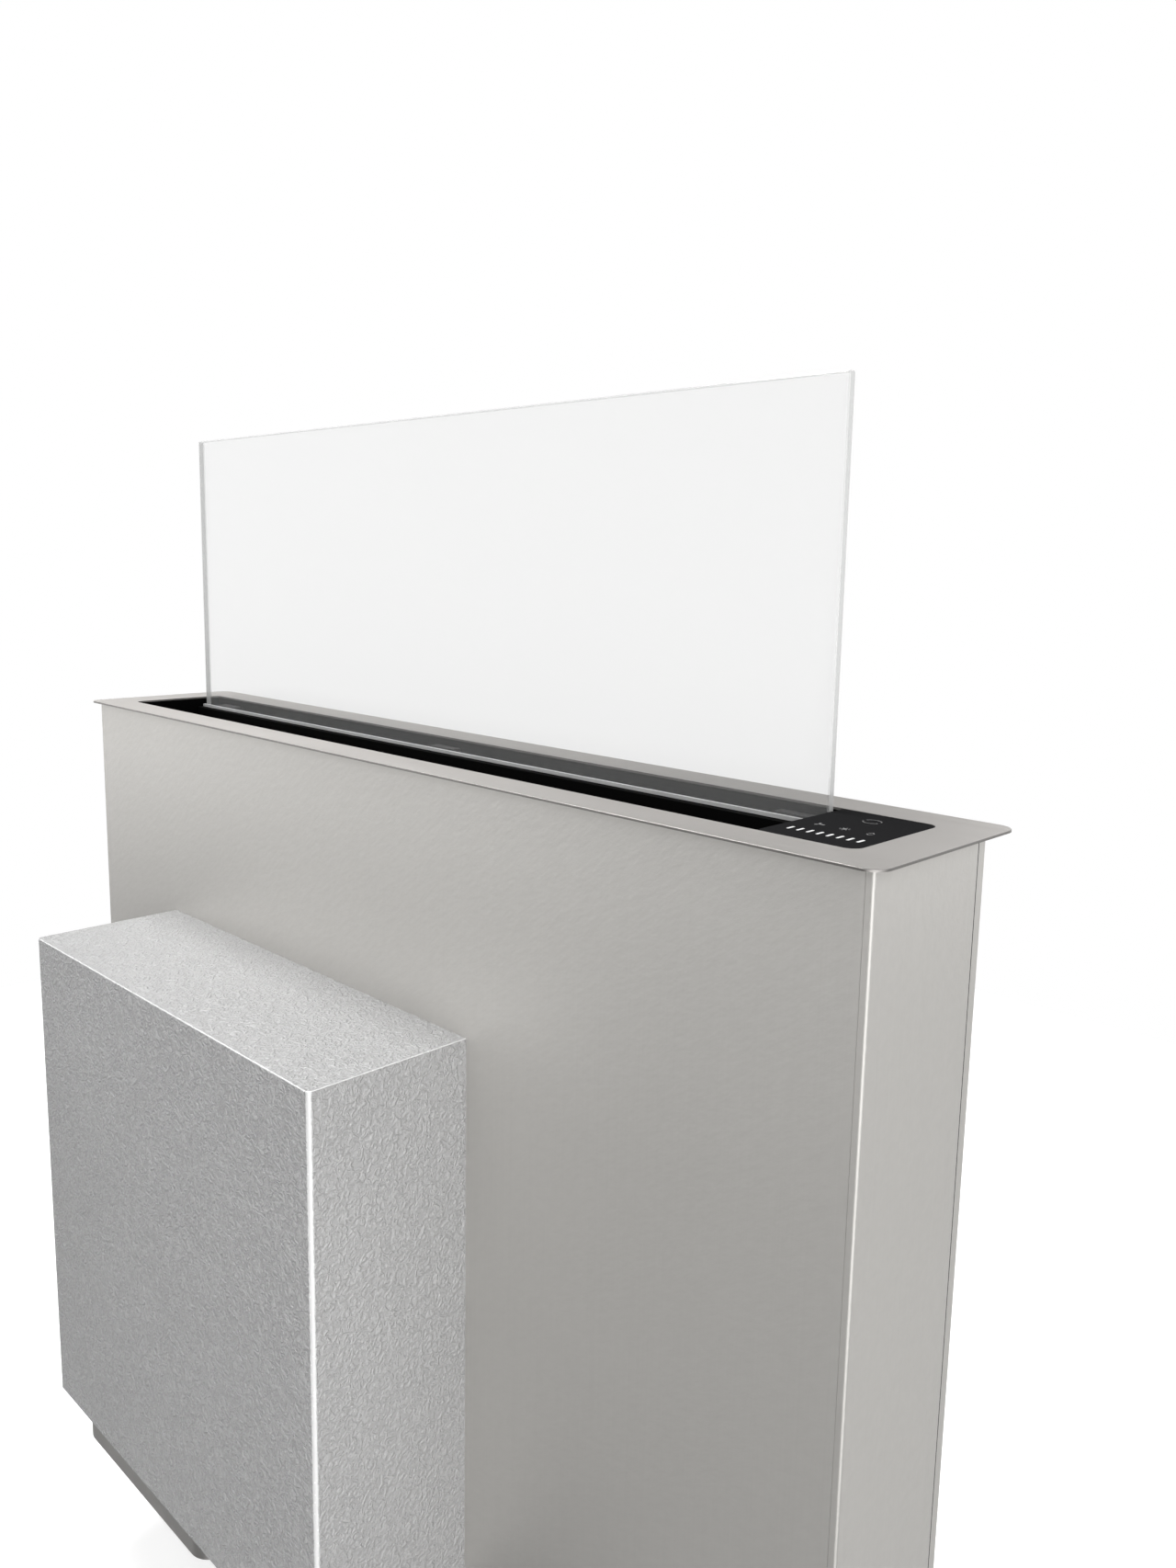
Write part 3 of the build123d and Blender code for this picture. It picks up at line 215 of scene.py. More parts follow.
# ---- Materials --------------------------------------------------------------------------------------
class Finish(Nodes):
    """A material of one Principled shader, with patterns laid out in object coordinates."""

    def __init__(self, name, colour, roughness, metallic=0.0):
        self.material = bpy.data.materials.new(name)
        self.material.use_nodes = True
        super().__init__(self.material.node_tree)
        self.shader = self.tree.nodes["Principled BSDF"]
        coordinates = self.node("ShaderNodeTexCoord").outputs
        self.place, self.normal = coordinates["Object"], coordinates["Normal"]
        self.set("Base Color", (*colour, 1.0))
        self.set("Roughness", roughness)
        self.set("Metallic", metallic)

    def set(self, socket, value):
        """Sets one of the shader's own sockets."""
        self.shader.inputs[socket].default_value = value
        return self

    def facing_share(self, axes):
        """How far a face looks along one of these axes of the object, from 0 to 1."""
        parts = self.node("ShaderNodeSeparateXYZ", {"Vector": self.normal}).outputs
        total = self.math("ABSOLUTE", parts[axes[0]])
        for axis in axes[1:]:
            total = self.math("MAXIMUM", total, self.math("ABSOLUTE", parts[axis]))
        return total

    def stretched(self, x, y, z, turn=(0.0, 0.0, 0.0)):
        """Object coordinates turned and then multiplied along each axis."""
        turned = self.out("ShaderNodeMapping", {"Vector": self.place, "Rotation": turn})
        return self.out("ShaderNodeMapping", {"Vector": turned, "Scale": (x, y, z)})

    def noise(self, scale, place=None, detail=3.0, coarse=0.5, twist=0.0):
        """Noise from 0 to 1."""
        return self.node("ShaderNodeTexNoise", {
            "Vector": place or self.place, "Scale": scale, "Detail": detail, "Roughness": coarse,
            "Distortion": twist}).outputs["Fac"]

    def cells(self, scale, feature="F1", output="Distance"):
        """A pattern of cells, such as zinc spangle."""
        return self.node("ShaderNodeTexVoronoi", {"Vector": self.place, "Scale": scale},
                         feature=feature).outputs[output]

    def bands(self, scale, axis, twist):
        """Even bands along one axis, from 0 to 1."""
        return self.node("ShaderNodeTexWave", {"Vector": self.place, "Scale": scale, "Distortion": twist},
                         bands_direction=axis).outputs["Fac"]

    def spread(self, value, low, high, start=0.0, end=1.0):
        """Maps value from start...end to low...high."""
        return self.out("ShaderNodeMapRange", {"Value": value, "From Min": start, "From Max": end,
                                               "To Min": low, "To Max": high})

    def shade(self, value, low, high, start=0.0, end=1.0):
        """Multiplies the base colour by a share from low to high, as value goes from start to end."""
        share = self.spread(value, low, high, start, end)
        shares = self.out("ShaderNodeCombineXYZ", {"X": share, "Y": share, "Z": share})
        base = self.shader.inputs["Base Color"]
        under = base.links[0].from_socket if base.links else tuple(base.default_value)[:3]
        self.feed(base, self.out("ShaderNodeVectorMath", {0: under, 1: shares}, operation="MULTIPLY"))
        return self

    def rough(self, value, low, high, start=0.3, end=0.7):
        """Roughness from low to high, as value goes from start to end."""
        self.feed(self.shader.inputs["Roughness"], self.spread(value, low, high, start, end))
        return self

    def bump(self, height, strength, distance):
        """Adds relief on top of what is there."""
        relief = self.node("ShaderNodeBump", {"Height": height, "Strength": strength, "Distance": distance})
        normal = self.shader.inputs["Normal"]
        if normal.links:
            self.feed(relief.inputs["Normal"], normal.links[0].from_socket)
        self.feed(normal, relief.outputs[0])
        return self


def brushed_flange(settings):
    """Stainless steel brushed along X, with painted shade on its edges and their fillets."""
    finish = Finish("brushed_flange", settings.flange_colour, 0.42, 0.9)
    brushing = finish.noise(1.0, finish.stretched(7.0, 1500.0, 1500.0), detail=4.0, coarse=0.65)
    clouds = finish.noise(6.0, finish.stretched(1.0, 3.0, 3.0), detail=2.0)
    finish.shade(brushing, 0.965, 1.035, 0.3, 0.7)
    # Painted shade: faces that do not look up, the edges and their fillets, are coloured darker
    finish.shade(finish.facing_share("Z"), 0.42, 1.0, 0.88, 0.99)
    finish.rough(brushing, 0.37, 0.48).bump(brushing, settings.brush_depth, 0.0002)
    return finish.bump(clouds, 0.015, 0.001)


def brushed_body(settings):
    """Satin steel sheet with short faint strokes and upright brushing."""
    finish = Finish("brushed_body", settings.body_colour, 0.45, 0.7)
    strokes = finish.noise(1.0, finish.stretched(90.0, 150.0, 190.0, (0.0, 0.62, 0.0)), detail=3.0,
                           coarse=0.6)
    brushing = finish.noise(1.0, finish.stretched(900.0, 900.0, 6.0), detail=3.0, coarse=0.6)
    clouds = finish.noise(3.0, detail=3.0, coarse=0.4)
    finish.shade(strokes, 0.985, 1.015, 0.32, 0.68)
    finish.shade(brushing, 0.99, 1.01, 0.3, 0.7)
    # Painted shade: the rounded folds between the faces are coloured darker
    finish.shade(finish.facing_share("XYZ"), 0.78, 1.0, 0.93, 0.99)
    finish.rough(clouds, 0.43, 0.48).bump(strokes, settings.stroke_depth, 0.0008)
    return finish.bump(brushing, 0.04, 0.0002)


def embossed_zinc(settings):
    """Galvanised sheet rolled with small worm-like lumps, which the folds press flat; painted highlights
    lighten the folds, the lump ridges and bright specks.
    """
    finish = Finish("embossed_zinc", settings.box_colour, 0.55, 0.3)
    scale = 1.0 / max(settings.lump_size, 1e-4)
    # flat is 0 on the folds: there it presses the lumps out and gives the folds their painted highlight
    flat = finish.spread(finish.facing_share("XYZ"), 0.0, 1.0, 0.93, 0.995)
    deep = finish.spread(finish.facing_share("Y"), 0.45, 1.0)
    lumps = finish.spread(finish.noise(scale * 0.7, detail=1.5, coarse=0.5, twist=1.4), 0.0, 1.0, 0.38, 0.66)
    ridges = finish.math("MULTIPLY", finish.math("MULTIPLY", lumps, flat), deep)
    grains = finish.noise(scale * 2.2, detail=2.0)
    glint_specks = finish.spread(finish.cells(scale * 0.8), 1.0, 0.0, 0.0, 0.2)
    finish.shade(finish.noise(5.0, detail=2.0), 0.97, 1.03, 0.3, 0.7)
    # Painted highlight and shade: lump ridges coloured lighter and their hollows darker, and the specks
    # painted as bright glints
    finish.shade(flat, settings.fold_highlight_gain, 1.0).shade(ridges, 0.92, 1.12).shade(glint_specks, 1.0, 1.5)
    finish.rough(grains, 0.46, 0.62)
    finish.bump(ridges, settings.lump_depth, 0.0016).bump(glint_specks, 0.3, 0.0005)
    return finish.bump(grains, 0.10, 0.0002)


def plain_zinc(settings):
    """Smooth galvanised sheet with a faint spangle."""
    finish = Finish("plain_zinc", settings.zinc_colour, 0.40, 0.8)
    spangle = finish.out("ShaderNodeSeparateColor", {"Color": finish.cells(95.0, output="Color")})
    finish.shade(spangle, 0.93, 1.07).rough(spangle, 0.36, 0.48, 0.0, 1.0)
    return finish.bump(finish.noise(60.0), 0.05, 0.0003)


def coated_black():
    """Matt black powder coat with its fine orange peel."""
    finish = Finish("coated_black", (0.0016, 0.0016, 0.0016), 0.78)
    finish.set("Specular IOR Level", 0.02).rough(finish.noise(40.0), 0.72, 0.86)
    finish.shade(finish.noise(25.0), 0.8, 1.2)
    return finish.bump(finish.noise(900.0, detail=2.0), 0.15, 0.0002)


def clear_glass(settings):
    """Toughened float glass: most light passes straight through, and its faces and edges show a pale veil as
    painted reflection.
    """
    finish = Finish("clear_glass", settings.reflection_veil_colour, 0.04)
    smears = finish.noise(9.0, detail=2.0)
    # Painted reflection: the faces show a faint pale veil, and the upright edges a nearly opaque pale one
    density = finish.spread(finish.facing_share("YZ"), settings.edge_density, settings.face_density,
                            0.3, 0.9)
    finish.feed(finish.shader.inputs["Alpha"], density)
    finish.shade(smears, 0.97, 1.03).rough(smears, 0.03, 0.06)
    return finish.bump(finish.noise(1.6, detail=0.0), 0.004, 0.002)


def black_glass(settings):
    """Black glass of the touch control, with finger smears in its dull gloss."""
    finish = Finish("black_glass", settings.control_colour, 0.5)
    smears = finish.noise(55.0, finish.stretched(1.0, 2.2, 1.0, (0.0, 0.0, 0.5)), detail=3.0, twist=0.8)
    finish.set("Specular IOR Level", 0.0).rough(smears, 0.4, 0.6)
    return finish.shade(smears, 0.97, 1.04)


def satin_metal(name, colour, roughness, along="X", depth=0.08, metallic=0.9):
    """Metal with a fine drawn or ground grain along one axis."""
    finish = Finish(name, colour, roughness, metallic)
    scales = [8.0 if axis == along else 1300.0 for axis in "XYZ"]
    grain = finish.noise(1.0, finish.stretched(*scales), detail=3.0, coarse=0.6)
    clouds = finish.noise(35.0, detail=2.0)
    finish.shade(clouds, 0.93, 1.06, 0.3, 0.7)
    return finish.rough(grain, roughness - 0.06, roughness + 0.08).bump(grain, depth, 0.0002)


def turned_metal(name, colour, groove=0.0006, roughness=0.3):
    """Metal with the fine rings that a lathe leaves, each a groove wide."""
    half_wave = 0.16  # of a Wave Texture of scale 1, in metres
    finish = Finish(name, colour, roughness, 0.95)
    rings = finish.bands(half_wave / groove, "Z", twist=0.4)
    stain = finish.noise(70.0, detail=3.0)
    finish.shade(stain, 0.86, 1.1).rough(stain, roughness - 0.08, roughness + 0.12)
    return finish.bump(rings, 0.12, 0.0001)


def moulded_plastic(name, colour, roughness=0.55, grain=1400.0):
    """Moulded plastic with an eroded texture."""
    finish = Finish(name, colour, roughness)
    texture = finish.noise(grain, detail=2.0)
    haze = finish.noise(30.0, detail=3.0)
    finish.set("Specular IOR Level", 0.4).shade(haze, 0.85, 1.15)
    return finish.rough(texture, roughness - 0.08, roughness + 0.1).bump(texture, 0.12, 0.0002)


def soft_rubber():
    """Black rubber with a dusty bloom."""
    finish = Finish("soft_rubber", (0.015, 0.015, 0.0155), 0.75)
    bloom = finish.noise(45.0, detail=4.0, coarse=0.6)
    pores = finish.noise(2400.0, detail=1.0)
    finish.set("Specular IOR Level", 0.3).shade(bloom, 0.75, 1.5)
    return finish.rough(bloom, 0.66, 0.86).bump(pores, 0.10, 0.0002)


def green_board():
    """Solder resist over copper tracks."""
    finish = Finish("green_board", (0.012, 0.13, 0.045), 0.34)
    tracks = finish.spread(finish.cells(210.0, feature="DISTANCE_TO_EDGE"), 1.0, 0.0, 0.02, 0.09)
    weave = finish.noise(2200.0, detail=1.0)
    finish.shade(tracks, 0.8, 1.9)
    return finish.rough(weave, 0.28, 0.42).bump(tracks, 0.25, 0.0001)


def wound_copper():
    """Lacquered copper wire, wound turn beside turn."""
    finish = Finish("wound_copper", (0.56, 0.20, 0.08), 0.3, 0.9)
    turns = finish.bands(520.0, "Y", twist=0.6)
    finish.shade(turns, 0.55, 1.15).rough(turns, 0.42, 0.24)
    return finish.bump(turns, 0.5, 0.0004)


def printed(name, colour):
    """Ink printed on glass."""
    finish = Finish(name, colour, 0.6)
    grain = finish.noise(1600.0, detail=2.0)
    finish.set("Specular IOR Level", 0.2)
    return finish.shade(grain, 0.9, 1.1).rough(grain, 0.5, 0.7)


def make_finishes(scene):
    """Every material of the part, by name."""
    sheet, glass = scene.vent_sheet, scene.vent_glass
    finishes = {
        "flange": brushed_flange(sheet), "body": brushed_body(sheet), "box": embossed_zinc(sheet),
        "zinc": plain_zinc(sheet), "liner": coated_black(), "glass": clear_glass(glass),
        "control": black_glass(glass),
        "aluminium": satin_metal("satin_aluminium", (0.62, 0.62, 0.615), 0.30),
        "trim": satin_metal("pale_trim", (0.40, 0.40, 0.40), 0.40, metallic=0.15),
        "flap": satin_metal("flap_aluminium", (0.60, 0.60, 0.60), 0.36, depth=0.12),
        "plated": satin_metal("plated_steel", (0.60, 0.59, 0.56), 0.28, "Z"),
        "plated_pin": satin_metal("plated_pin", (0.60, 0.59, 0.56), 0.26, "X"),
        "brass": turned_metal("turned_brass", (0.62, 0.44, 0.18)),
        "shaft": turned_metal("turned_steel", (0.52, 0.52, 0.52), roughness=0.24),
        "motor": turned_metal("lacquered_motor", (0.34, 0.34, 0.35), 0.0011, 0.36),
        "coupling": turned_metal("turned_aluminium", (0.62, 0.62, 0.62)),
        "black_plastic": moulded_plastic("black_plastic", (0.018, 0.018, 0.0185)),
        "grey_plastic": moulded_plastic("grey_plastic", (0.33, 0.34, 0.35)),
        "wheel": moulded_plastic("wheel_plastic", (0.03, 0.03, 0.031), 0.42, 900.0),
        "rubber": soft_rubber(),
        "board": green_board(), "copper": wound_copper(),
        "bars": printed("printed_bars", glass.bar_colour),
        "signs": printed("printed_signs", glass.sign_colour),
    }
    return {name: finish.material for name, finish in finishes.items()}


FINISHES = {}


def finish_named(name):
    """The material of that short name, made with the others when first asked for."""
    if not FINISHES:
        FINISHES.update(make_finishes(bpy.context.scene))
    return FINISHES[name]


# ---- Meshes -----------------------------------------------------------------------------------------
def circle(radius, count):
    """Points round a circle."""
    angles = [math.tau * step / count for step in range(count)]
    return [(radius * math.cos(angle), radius * math.sin(angle)) for angle in angles]


def lathe(profile, segments, closed=True):
    """A shape turned about Z from (radius, height) points; closed joins the last ring to the first."""
    shape = bmesh.new()
    rings = []
    for radius, height in profile:
        places = circle(radius, segments) if radius > 0 else [(0.0, 0.0)]
        rings.append([shape.verts.new((x, y, height)) for x, y in places])
    pairs = list(zip(rings, rings[1:]))
    if closed:
        pairs.append((rings[-1], rings[0]))
    for low, high in pairs:
        for step in range(segments):
            after = (step + 1) % segments
            corners = (low[step % len(low)], low[after % len(low)], high[after % len(high)],
                       high[step % len(high)])
            corners = list(dict.fromkeys(corners))
            if len(corners) > 2:
                shape.faces.new(corners)
    bmesh.ops.recalc_face_normals(shape, faces=shape.faces)
    return shape


def prism(outline, low, high):
    """A slab over an outline of (x, y) points."""
    shape = bmesh.new()
    floor = [shape.verts.new((x, y, low)) for x, y in outline]
    lid = [shape.verts.new((x, y, high)) for x, y in outline]
    shape.faces.new(floor)
    shape.faces.new(lid)
    for step in range(len(outline)):
        after = (step + 1) % len(outline)
        shape.faces.new((floor[step], floor[after], lid[after], lid[step]))
    bmesh.ops.recalc_face_normals(shape, faces=shape.faces)
    return shape


def rounded(shape, offset):
    """The shape with all its edges rounded."""
    bmesh.ops.bevel(shape, geom=list(shape.edges), offset=offset, segments=2, affect="EDGES", profile=0.5)
    return shape


def block(low, high, round_edges=0.0):
    """A box from corner to corner, with its edges rounded."""
    shape = bmesh.new()
    bmesh.ops.create_cube(shape, size=1.0)
    for vert in shape.verts:
        vert.co = Vector([(a + b) / 2 + (b - a) * part for a, b, part in zip(low, high, vert.co)])
    return rounded(shape, round_edges) if round_edges else shape


def facing(direction):
    """The turn that brings +Z to a direction."""
    return Vector(direction).to_track_quat("Z", "Y").to_matrix()


def moved(shape, place, direction=None):
    """The shape with its +Z turned to a direction, and then put at a place."""
    turn = facing(direction).to_4x4() if direction else Matrix()
    bmesh.ops.transform(shape, matrix=Matrix.Translation(place) @ turn, verts=shape.verts)
    return shape


def turned(shape, direction):
    """The shape with its +Z turned to a direction."""
    return moved(shape, (0.0, 0.0, 0.0), direction)


def joined(*shapes):
    """Several shapes as one."""
    whole = bmesh.new()
    for shape in shapes:
        part = bpy.data.meshes.new("part")
        shape.to_mesh(part)
        shape.free()
        whole.from_mesh(part)
        bpy.data.meshes.remove(part)
    return whole


def as_mesh(name, shape):
    """A mesh of a shape, which is used up."""
    mesh = bpy.data.meshes.new(name)
    shape.to_mesh(mesh)
    shape.free()
    return mesh


def screw(radius, height, shank, reach, sides, share):
    """A domed screw with a recess, seated at height 0 and facing +Z: a cross for 4 sides, a hexagon for 6."""
    rise = ((radius, 0.0), (radius, 0.35 * height), (0.93 * radius, 0.68 * height),
            (0.80 * radius, 0.90 * height), (0.66 * radius, height))
    shape = lathe(((0.0, -reach), (shank * 0.7, -reach), (shank, -reach + 0.3 * shank), (shank, 0.0), *rise),
                  20, closed=False)
    wide, slim = radius * share, radius * share * 0.3
    if sides == 4:
        corner = [(wide, -slim), (wide, slim), (slim, slim)]
        turns = [Matrix.Rotation(math.tau * step / 4, 2) for step in range(4)]
        outline = [turn @ Vector(point) for turn in turns for point in corner]
    else:
        outline = circle(wide, sides)
    rim = [edge for edge in shape.edges if edge.is_boundary]
    tops = [shape.verts.new((x, y, height)) for x, y in outline]
    floors = [shape.verts.new((x * 0.85, y * 0.85, 0.4 * height)) for x, y in outline]
    inner = [shape.edges.new((tops[step - 1], tops[step])) for step in range(len(tops))]
    bmesh.ops.triangle_fill(shape, edges=rim + inner, use_beauty=True)
    for step in range(len(tops)):
        shape.faces.new((tops[step - 1], tops[step], floors[step], floors[step - 1]))
    shape.faces.new(floors)
    bmesh.ops.recalc_face_normals(shape, faces=shape.faces)
    return shape


def section(outline):
    """A closed loop of edges in the XY plane, for the helix tree."""
    shape = bmesh.new()
    verts = [shape.verts.new((x, y, 0.0)) for x, y in outline]
    for step in range(len(verts)):
        shape.edges.new((verts[step - 1], verts[step]))
    return shape


def box_of(node):
    """The lowest corner, the highest corner and the middle of a CAD node."""
    low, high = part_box(node)
    return low, high, (low + high) / 2


def islands(node):
    """The box of each separate solid of a CAD node, as (lowest, highest) corners."""
    shape = bmesh.new()
    shape.from_mesh(NODES[node].data)
    bmesh.ops.remove_doubles(shape, verts=shape.verts, dist=1e-6)
    seen, boxes = set(), []
    for first in shape.verts:
        if first in seen:
            continue
        seen.add(first)
        corners, waiting = [], [first]
        while waiting:
            vert = waiting.pop()
            corners.append(vert.co)
            for edge in vert.link_edges:
                other = edge.other_vert(vert)
                if other not in seen:
                    seen.add(other)
                    waiting.append(other)
        boxes.append((Vector([min(c[i] for c in corners) for i in range(3)]),
                      Vector([max(c[i] for c in corners) for i in range(3)])))
    shape.free()
    return boxes


# ---- Geometry Nodes ---------------------------------------------------------------------------------
class Tree(Nodes):
    """A Geometry Nodes tree with named inputs, which turns a mesh into a plain mesh."""

    kinds = {int: "NodeSocketInt", float: "NodeSocketFloat", tuple: "NodeSocketVector"}

    def __init__(self, name, sizes):
        super().__init__(bpy.data.node_groups.new(name, "GeometryNodeTree"))
        self.name, self.sockets = name, {}
        face = self.tree.interface
        face.new_socket("Geometry", in_out="INPUT", socket_type="NodeSocketGeometry")
        for label, value in sizes.items():
            socket = face.new_socket(label, in_out="INPUT", socket_type=self.kinds[type(value)])
            socket.default_value = value
            self.sockets[label] = socket.identifier
        face.new_socket("Geometry", in_out="OUTPUT", socket_type="NodeSocketGeometry")
        self.start = self.node("NodeGroupInput").outputs

    def copies(self, points, shape, turn=None):
        """A copy of a shape on each point, turned by Euler angles."""
        inputs = {"Points": points, "Instance": shape}
        if turn:
            inputs["Rotation"] = self.out("FunctionNodeEulerToRotation", {"Euler": turn})
        return self.out("GeometryNodeInstanceOnPoints", inputs)

    def end(self, geometry):
        """Realizes the copies, gives them a material and closes the tree."""
        real = self.out("GeometryNodeRealizeInstances", {"Geometry": geometry})
        self.paint = self.node("GeometryNodeSetMaterial", {"Geometry": real})
        self.feed(self.node("NodeGroupOutput").inputs[0], self.paint.outputs[0])
        return self

    def end_at_centre(self, geometry):
        """Moves the copies to Centre and closes the tree."""
        return self.end(self.out("GeometryNodeTransform", {
            "Geometry": geometry, "Translation": self.start["Centre"]}))

    def grow(self, shape, finish, **sizes):
        """What the tree makes of a shape, with these sizes."""
        self.paint.inputs["Material"].default_value = finish_named(finish)
        seed = bpy.data.objects.new(self.name, as_mesh(self.name, shape))
        bpy.context.scene.collection.objects.link(seed)
        modifier = seed.modifiers.new(self.name, "NODES")
        modifier.node_group = self.tree
        for label, value in sizes.items():
            socket = self.sockets[label.replace("_", " ")]
            modifier[socket] = tuple(value) if isinstance(value, Vector) else value
        seed.update_tag()
        state = bpy.context.evaluated_depsgraph_get()
        state.update()
        mesh = bpy.data.meshes.new_from_object(seed.evaluated_get(state))
        seed.modifiers.clear()
        old = seed.data
        bpy.data.objects.remove(seed)
        bpy.data.meshes.remove(old)
        grown = bmesh.new()
        grown.from_mesh(mesh)
        bpy.data.meshes.remove(mesh)
        return grown


def rows_tree():
    """Copies in rows: Count copies a Step apart, in Rows that are a Row Step apart."""
    tree = Tree("Rows", {"Count": 4, "Step": (0.01, 0.0, 0.0), "Rows": 1, "Row Step": (0.0, 0.01, 0.0),
                         "Start": (0.0, 0.0, 0.0)})
    row = tree.out("GeometryNodeMeshLine", {"Count": tree.start["Count"], "Offset": tree.start["Step"]})
    rows = tree.out("GeometryNodeMeshLine", {
        "Count": tree.start["Rows"], "Offset": tree.start["Row Step"],
        "Start Location": tree.start["Start"]})
    points = tree.out("GeometryNodeRealizeInstances", {"Geometry": tree.copies(rows, row)})
    return tree.end(tree.copies(points, tree.start["Geometry"]))


def ring_tree():
    """Copies round Z: Count copies on a Radius, over a Sweep that begins at Start Angle."""
    tree = Tree("Ring", {"Count": 12, "Radius": 0.01, "Sweep": math.tau, "Start Angle": 0.0,
                         "Centre": (0.0, 0.0, 0.0)})
    share = tree.math("DIVIDE", tree.out("GeometryNodeInputIndex"), tree.start["Count"])
    angle = tree.math("ADD", tree.math("MULTIPLY", share, tree.start["Sweep"]), tree.start["Start Angle"])
    place = tree.out("ShaderNodeCombineXYZ", {
        "X": tree.math("MULTIPLY", tree.math("COSINE", angle), tree.start["Radius"]),
        "Y": tree.math("MULTIPLY", tree.math("SINE", angle), tree.start["Radius"])})
    points = tree.out("GeometryNodePoints", {"Count": tree.start["Count"], "Position": place})
    turn = tree.out("ShaderNodeCombineXYZ", {"Z": angle})
    return tree.end_at_centre(tree.copies(points, tree.start["Geometry"], turn))


def helix_tree():
    """A wire or thread wound round Z: the shape is its section, in Starts that begin evenly spaced."""
    tree = Tree("Helix", {"Turns": 8.0, "Height": 0.01, "Radius": 0.002, "Starts": 1, "Steps": 12,
                          "Centre": (0.0, 0.0, 0.0)})
    line = tree.out("GeometryNodeCurveSpiral", {
        "Resolution": tree.start["Steps"], "Rotations": tree.start["Turns"],
        "Start Radius": tree.start["Radius"], "End Radius": tree.start["Radius"],
        "Height": tree.start["Height"]})
    line = tree.out("GeometryNodeSetCurveNormal", {"Curve": line}, mode="Z_UP")
    loop = tree.out("GeometryNodeMeshToCurve", {"Mesh": tree.start["Geometry"]})
    wire = tree.out("GeometryNodeCurveToMesh", {"Curve": line, "Profile Curve": loop, "Fill Caps": True})
    share = tree.math("DIVIDE", tree.out("GeometryNodeInputIndex"), tree.start["Starts"])
    turn = tree.out("ShaderNodeCombineXYZ", {"Z": tree.math("MULTIPLY", share, math.tau)})
    points = tree.out("GeometryNodePoints", {"Count": tree.start["Starts"]})
    return tree.end_at_centre(tree.copies(points, wire, turn))


TREES = {}


def tree_named(name):
    """One of the three trees, made when it is first asked for."""
    makers = {"rows": rows_tree, "ring": ring_tree, "helix": helix_tree}
    if name not in TREES:
        TREES[name] = makers[name]()
    return TREES[name]


def in_rows(shape, finish, count, step, start, **sizes):
    """Copies of a shape a step apart, the first of them at start."""
    return tree_named("rows").grow(shape, finish, Count=count, Step=step, Start=start, **sizes)


def in_ring(shape, finish, count, radius=0.0, **sizes):
    """Copies of a shape round an upright axis."""
    return tree_named("ring").grow(shape, finish, Count=count, Radius=radius, **sizes)


# ---- Pieces -----------------------------------------------------------------------------------------
def add_piece(name, shapes, body, finish, replaces=(), smooth=32.0):
    """A piece of the part: shapes joined to one object that rides on a body."""
    whole = joined(*shapes)
    bmesh.ops.recalc_face_normals(whole, faces=whole.faces)
    mesh = as_mesh(name, whole)
    mesh.materials.append(finish_named(finish))
    for face in mesh.polygons:
        face.use_smooth = True
        face.material_index = 0
    mesh.set_sharp_from_angle(angle=math.radians(smooth))
    piece = bpy.data.objects.new(name, mesh)
    bpy.context.scene.collection.objects.link(piece)
    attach(piece, body)
    if replaces:
        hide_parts(*replaces)


def dress(finish, *names):
    """Gives CAD nodes a finish."""
    for name in names:
        node = NODES[name]
        if not node.material_slots:
            node.data.materials.append(finish_named(finish))
        for held in node.material_slots:
            held.material = finish_named(finish)


class DressOperator:
    """What every operator of this file shares."""
    bl_options = {"REGISTER", "UNDO"}


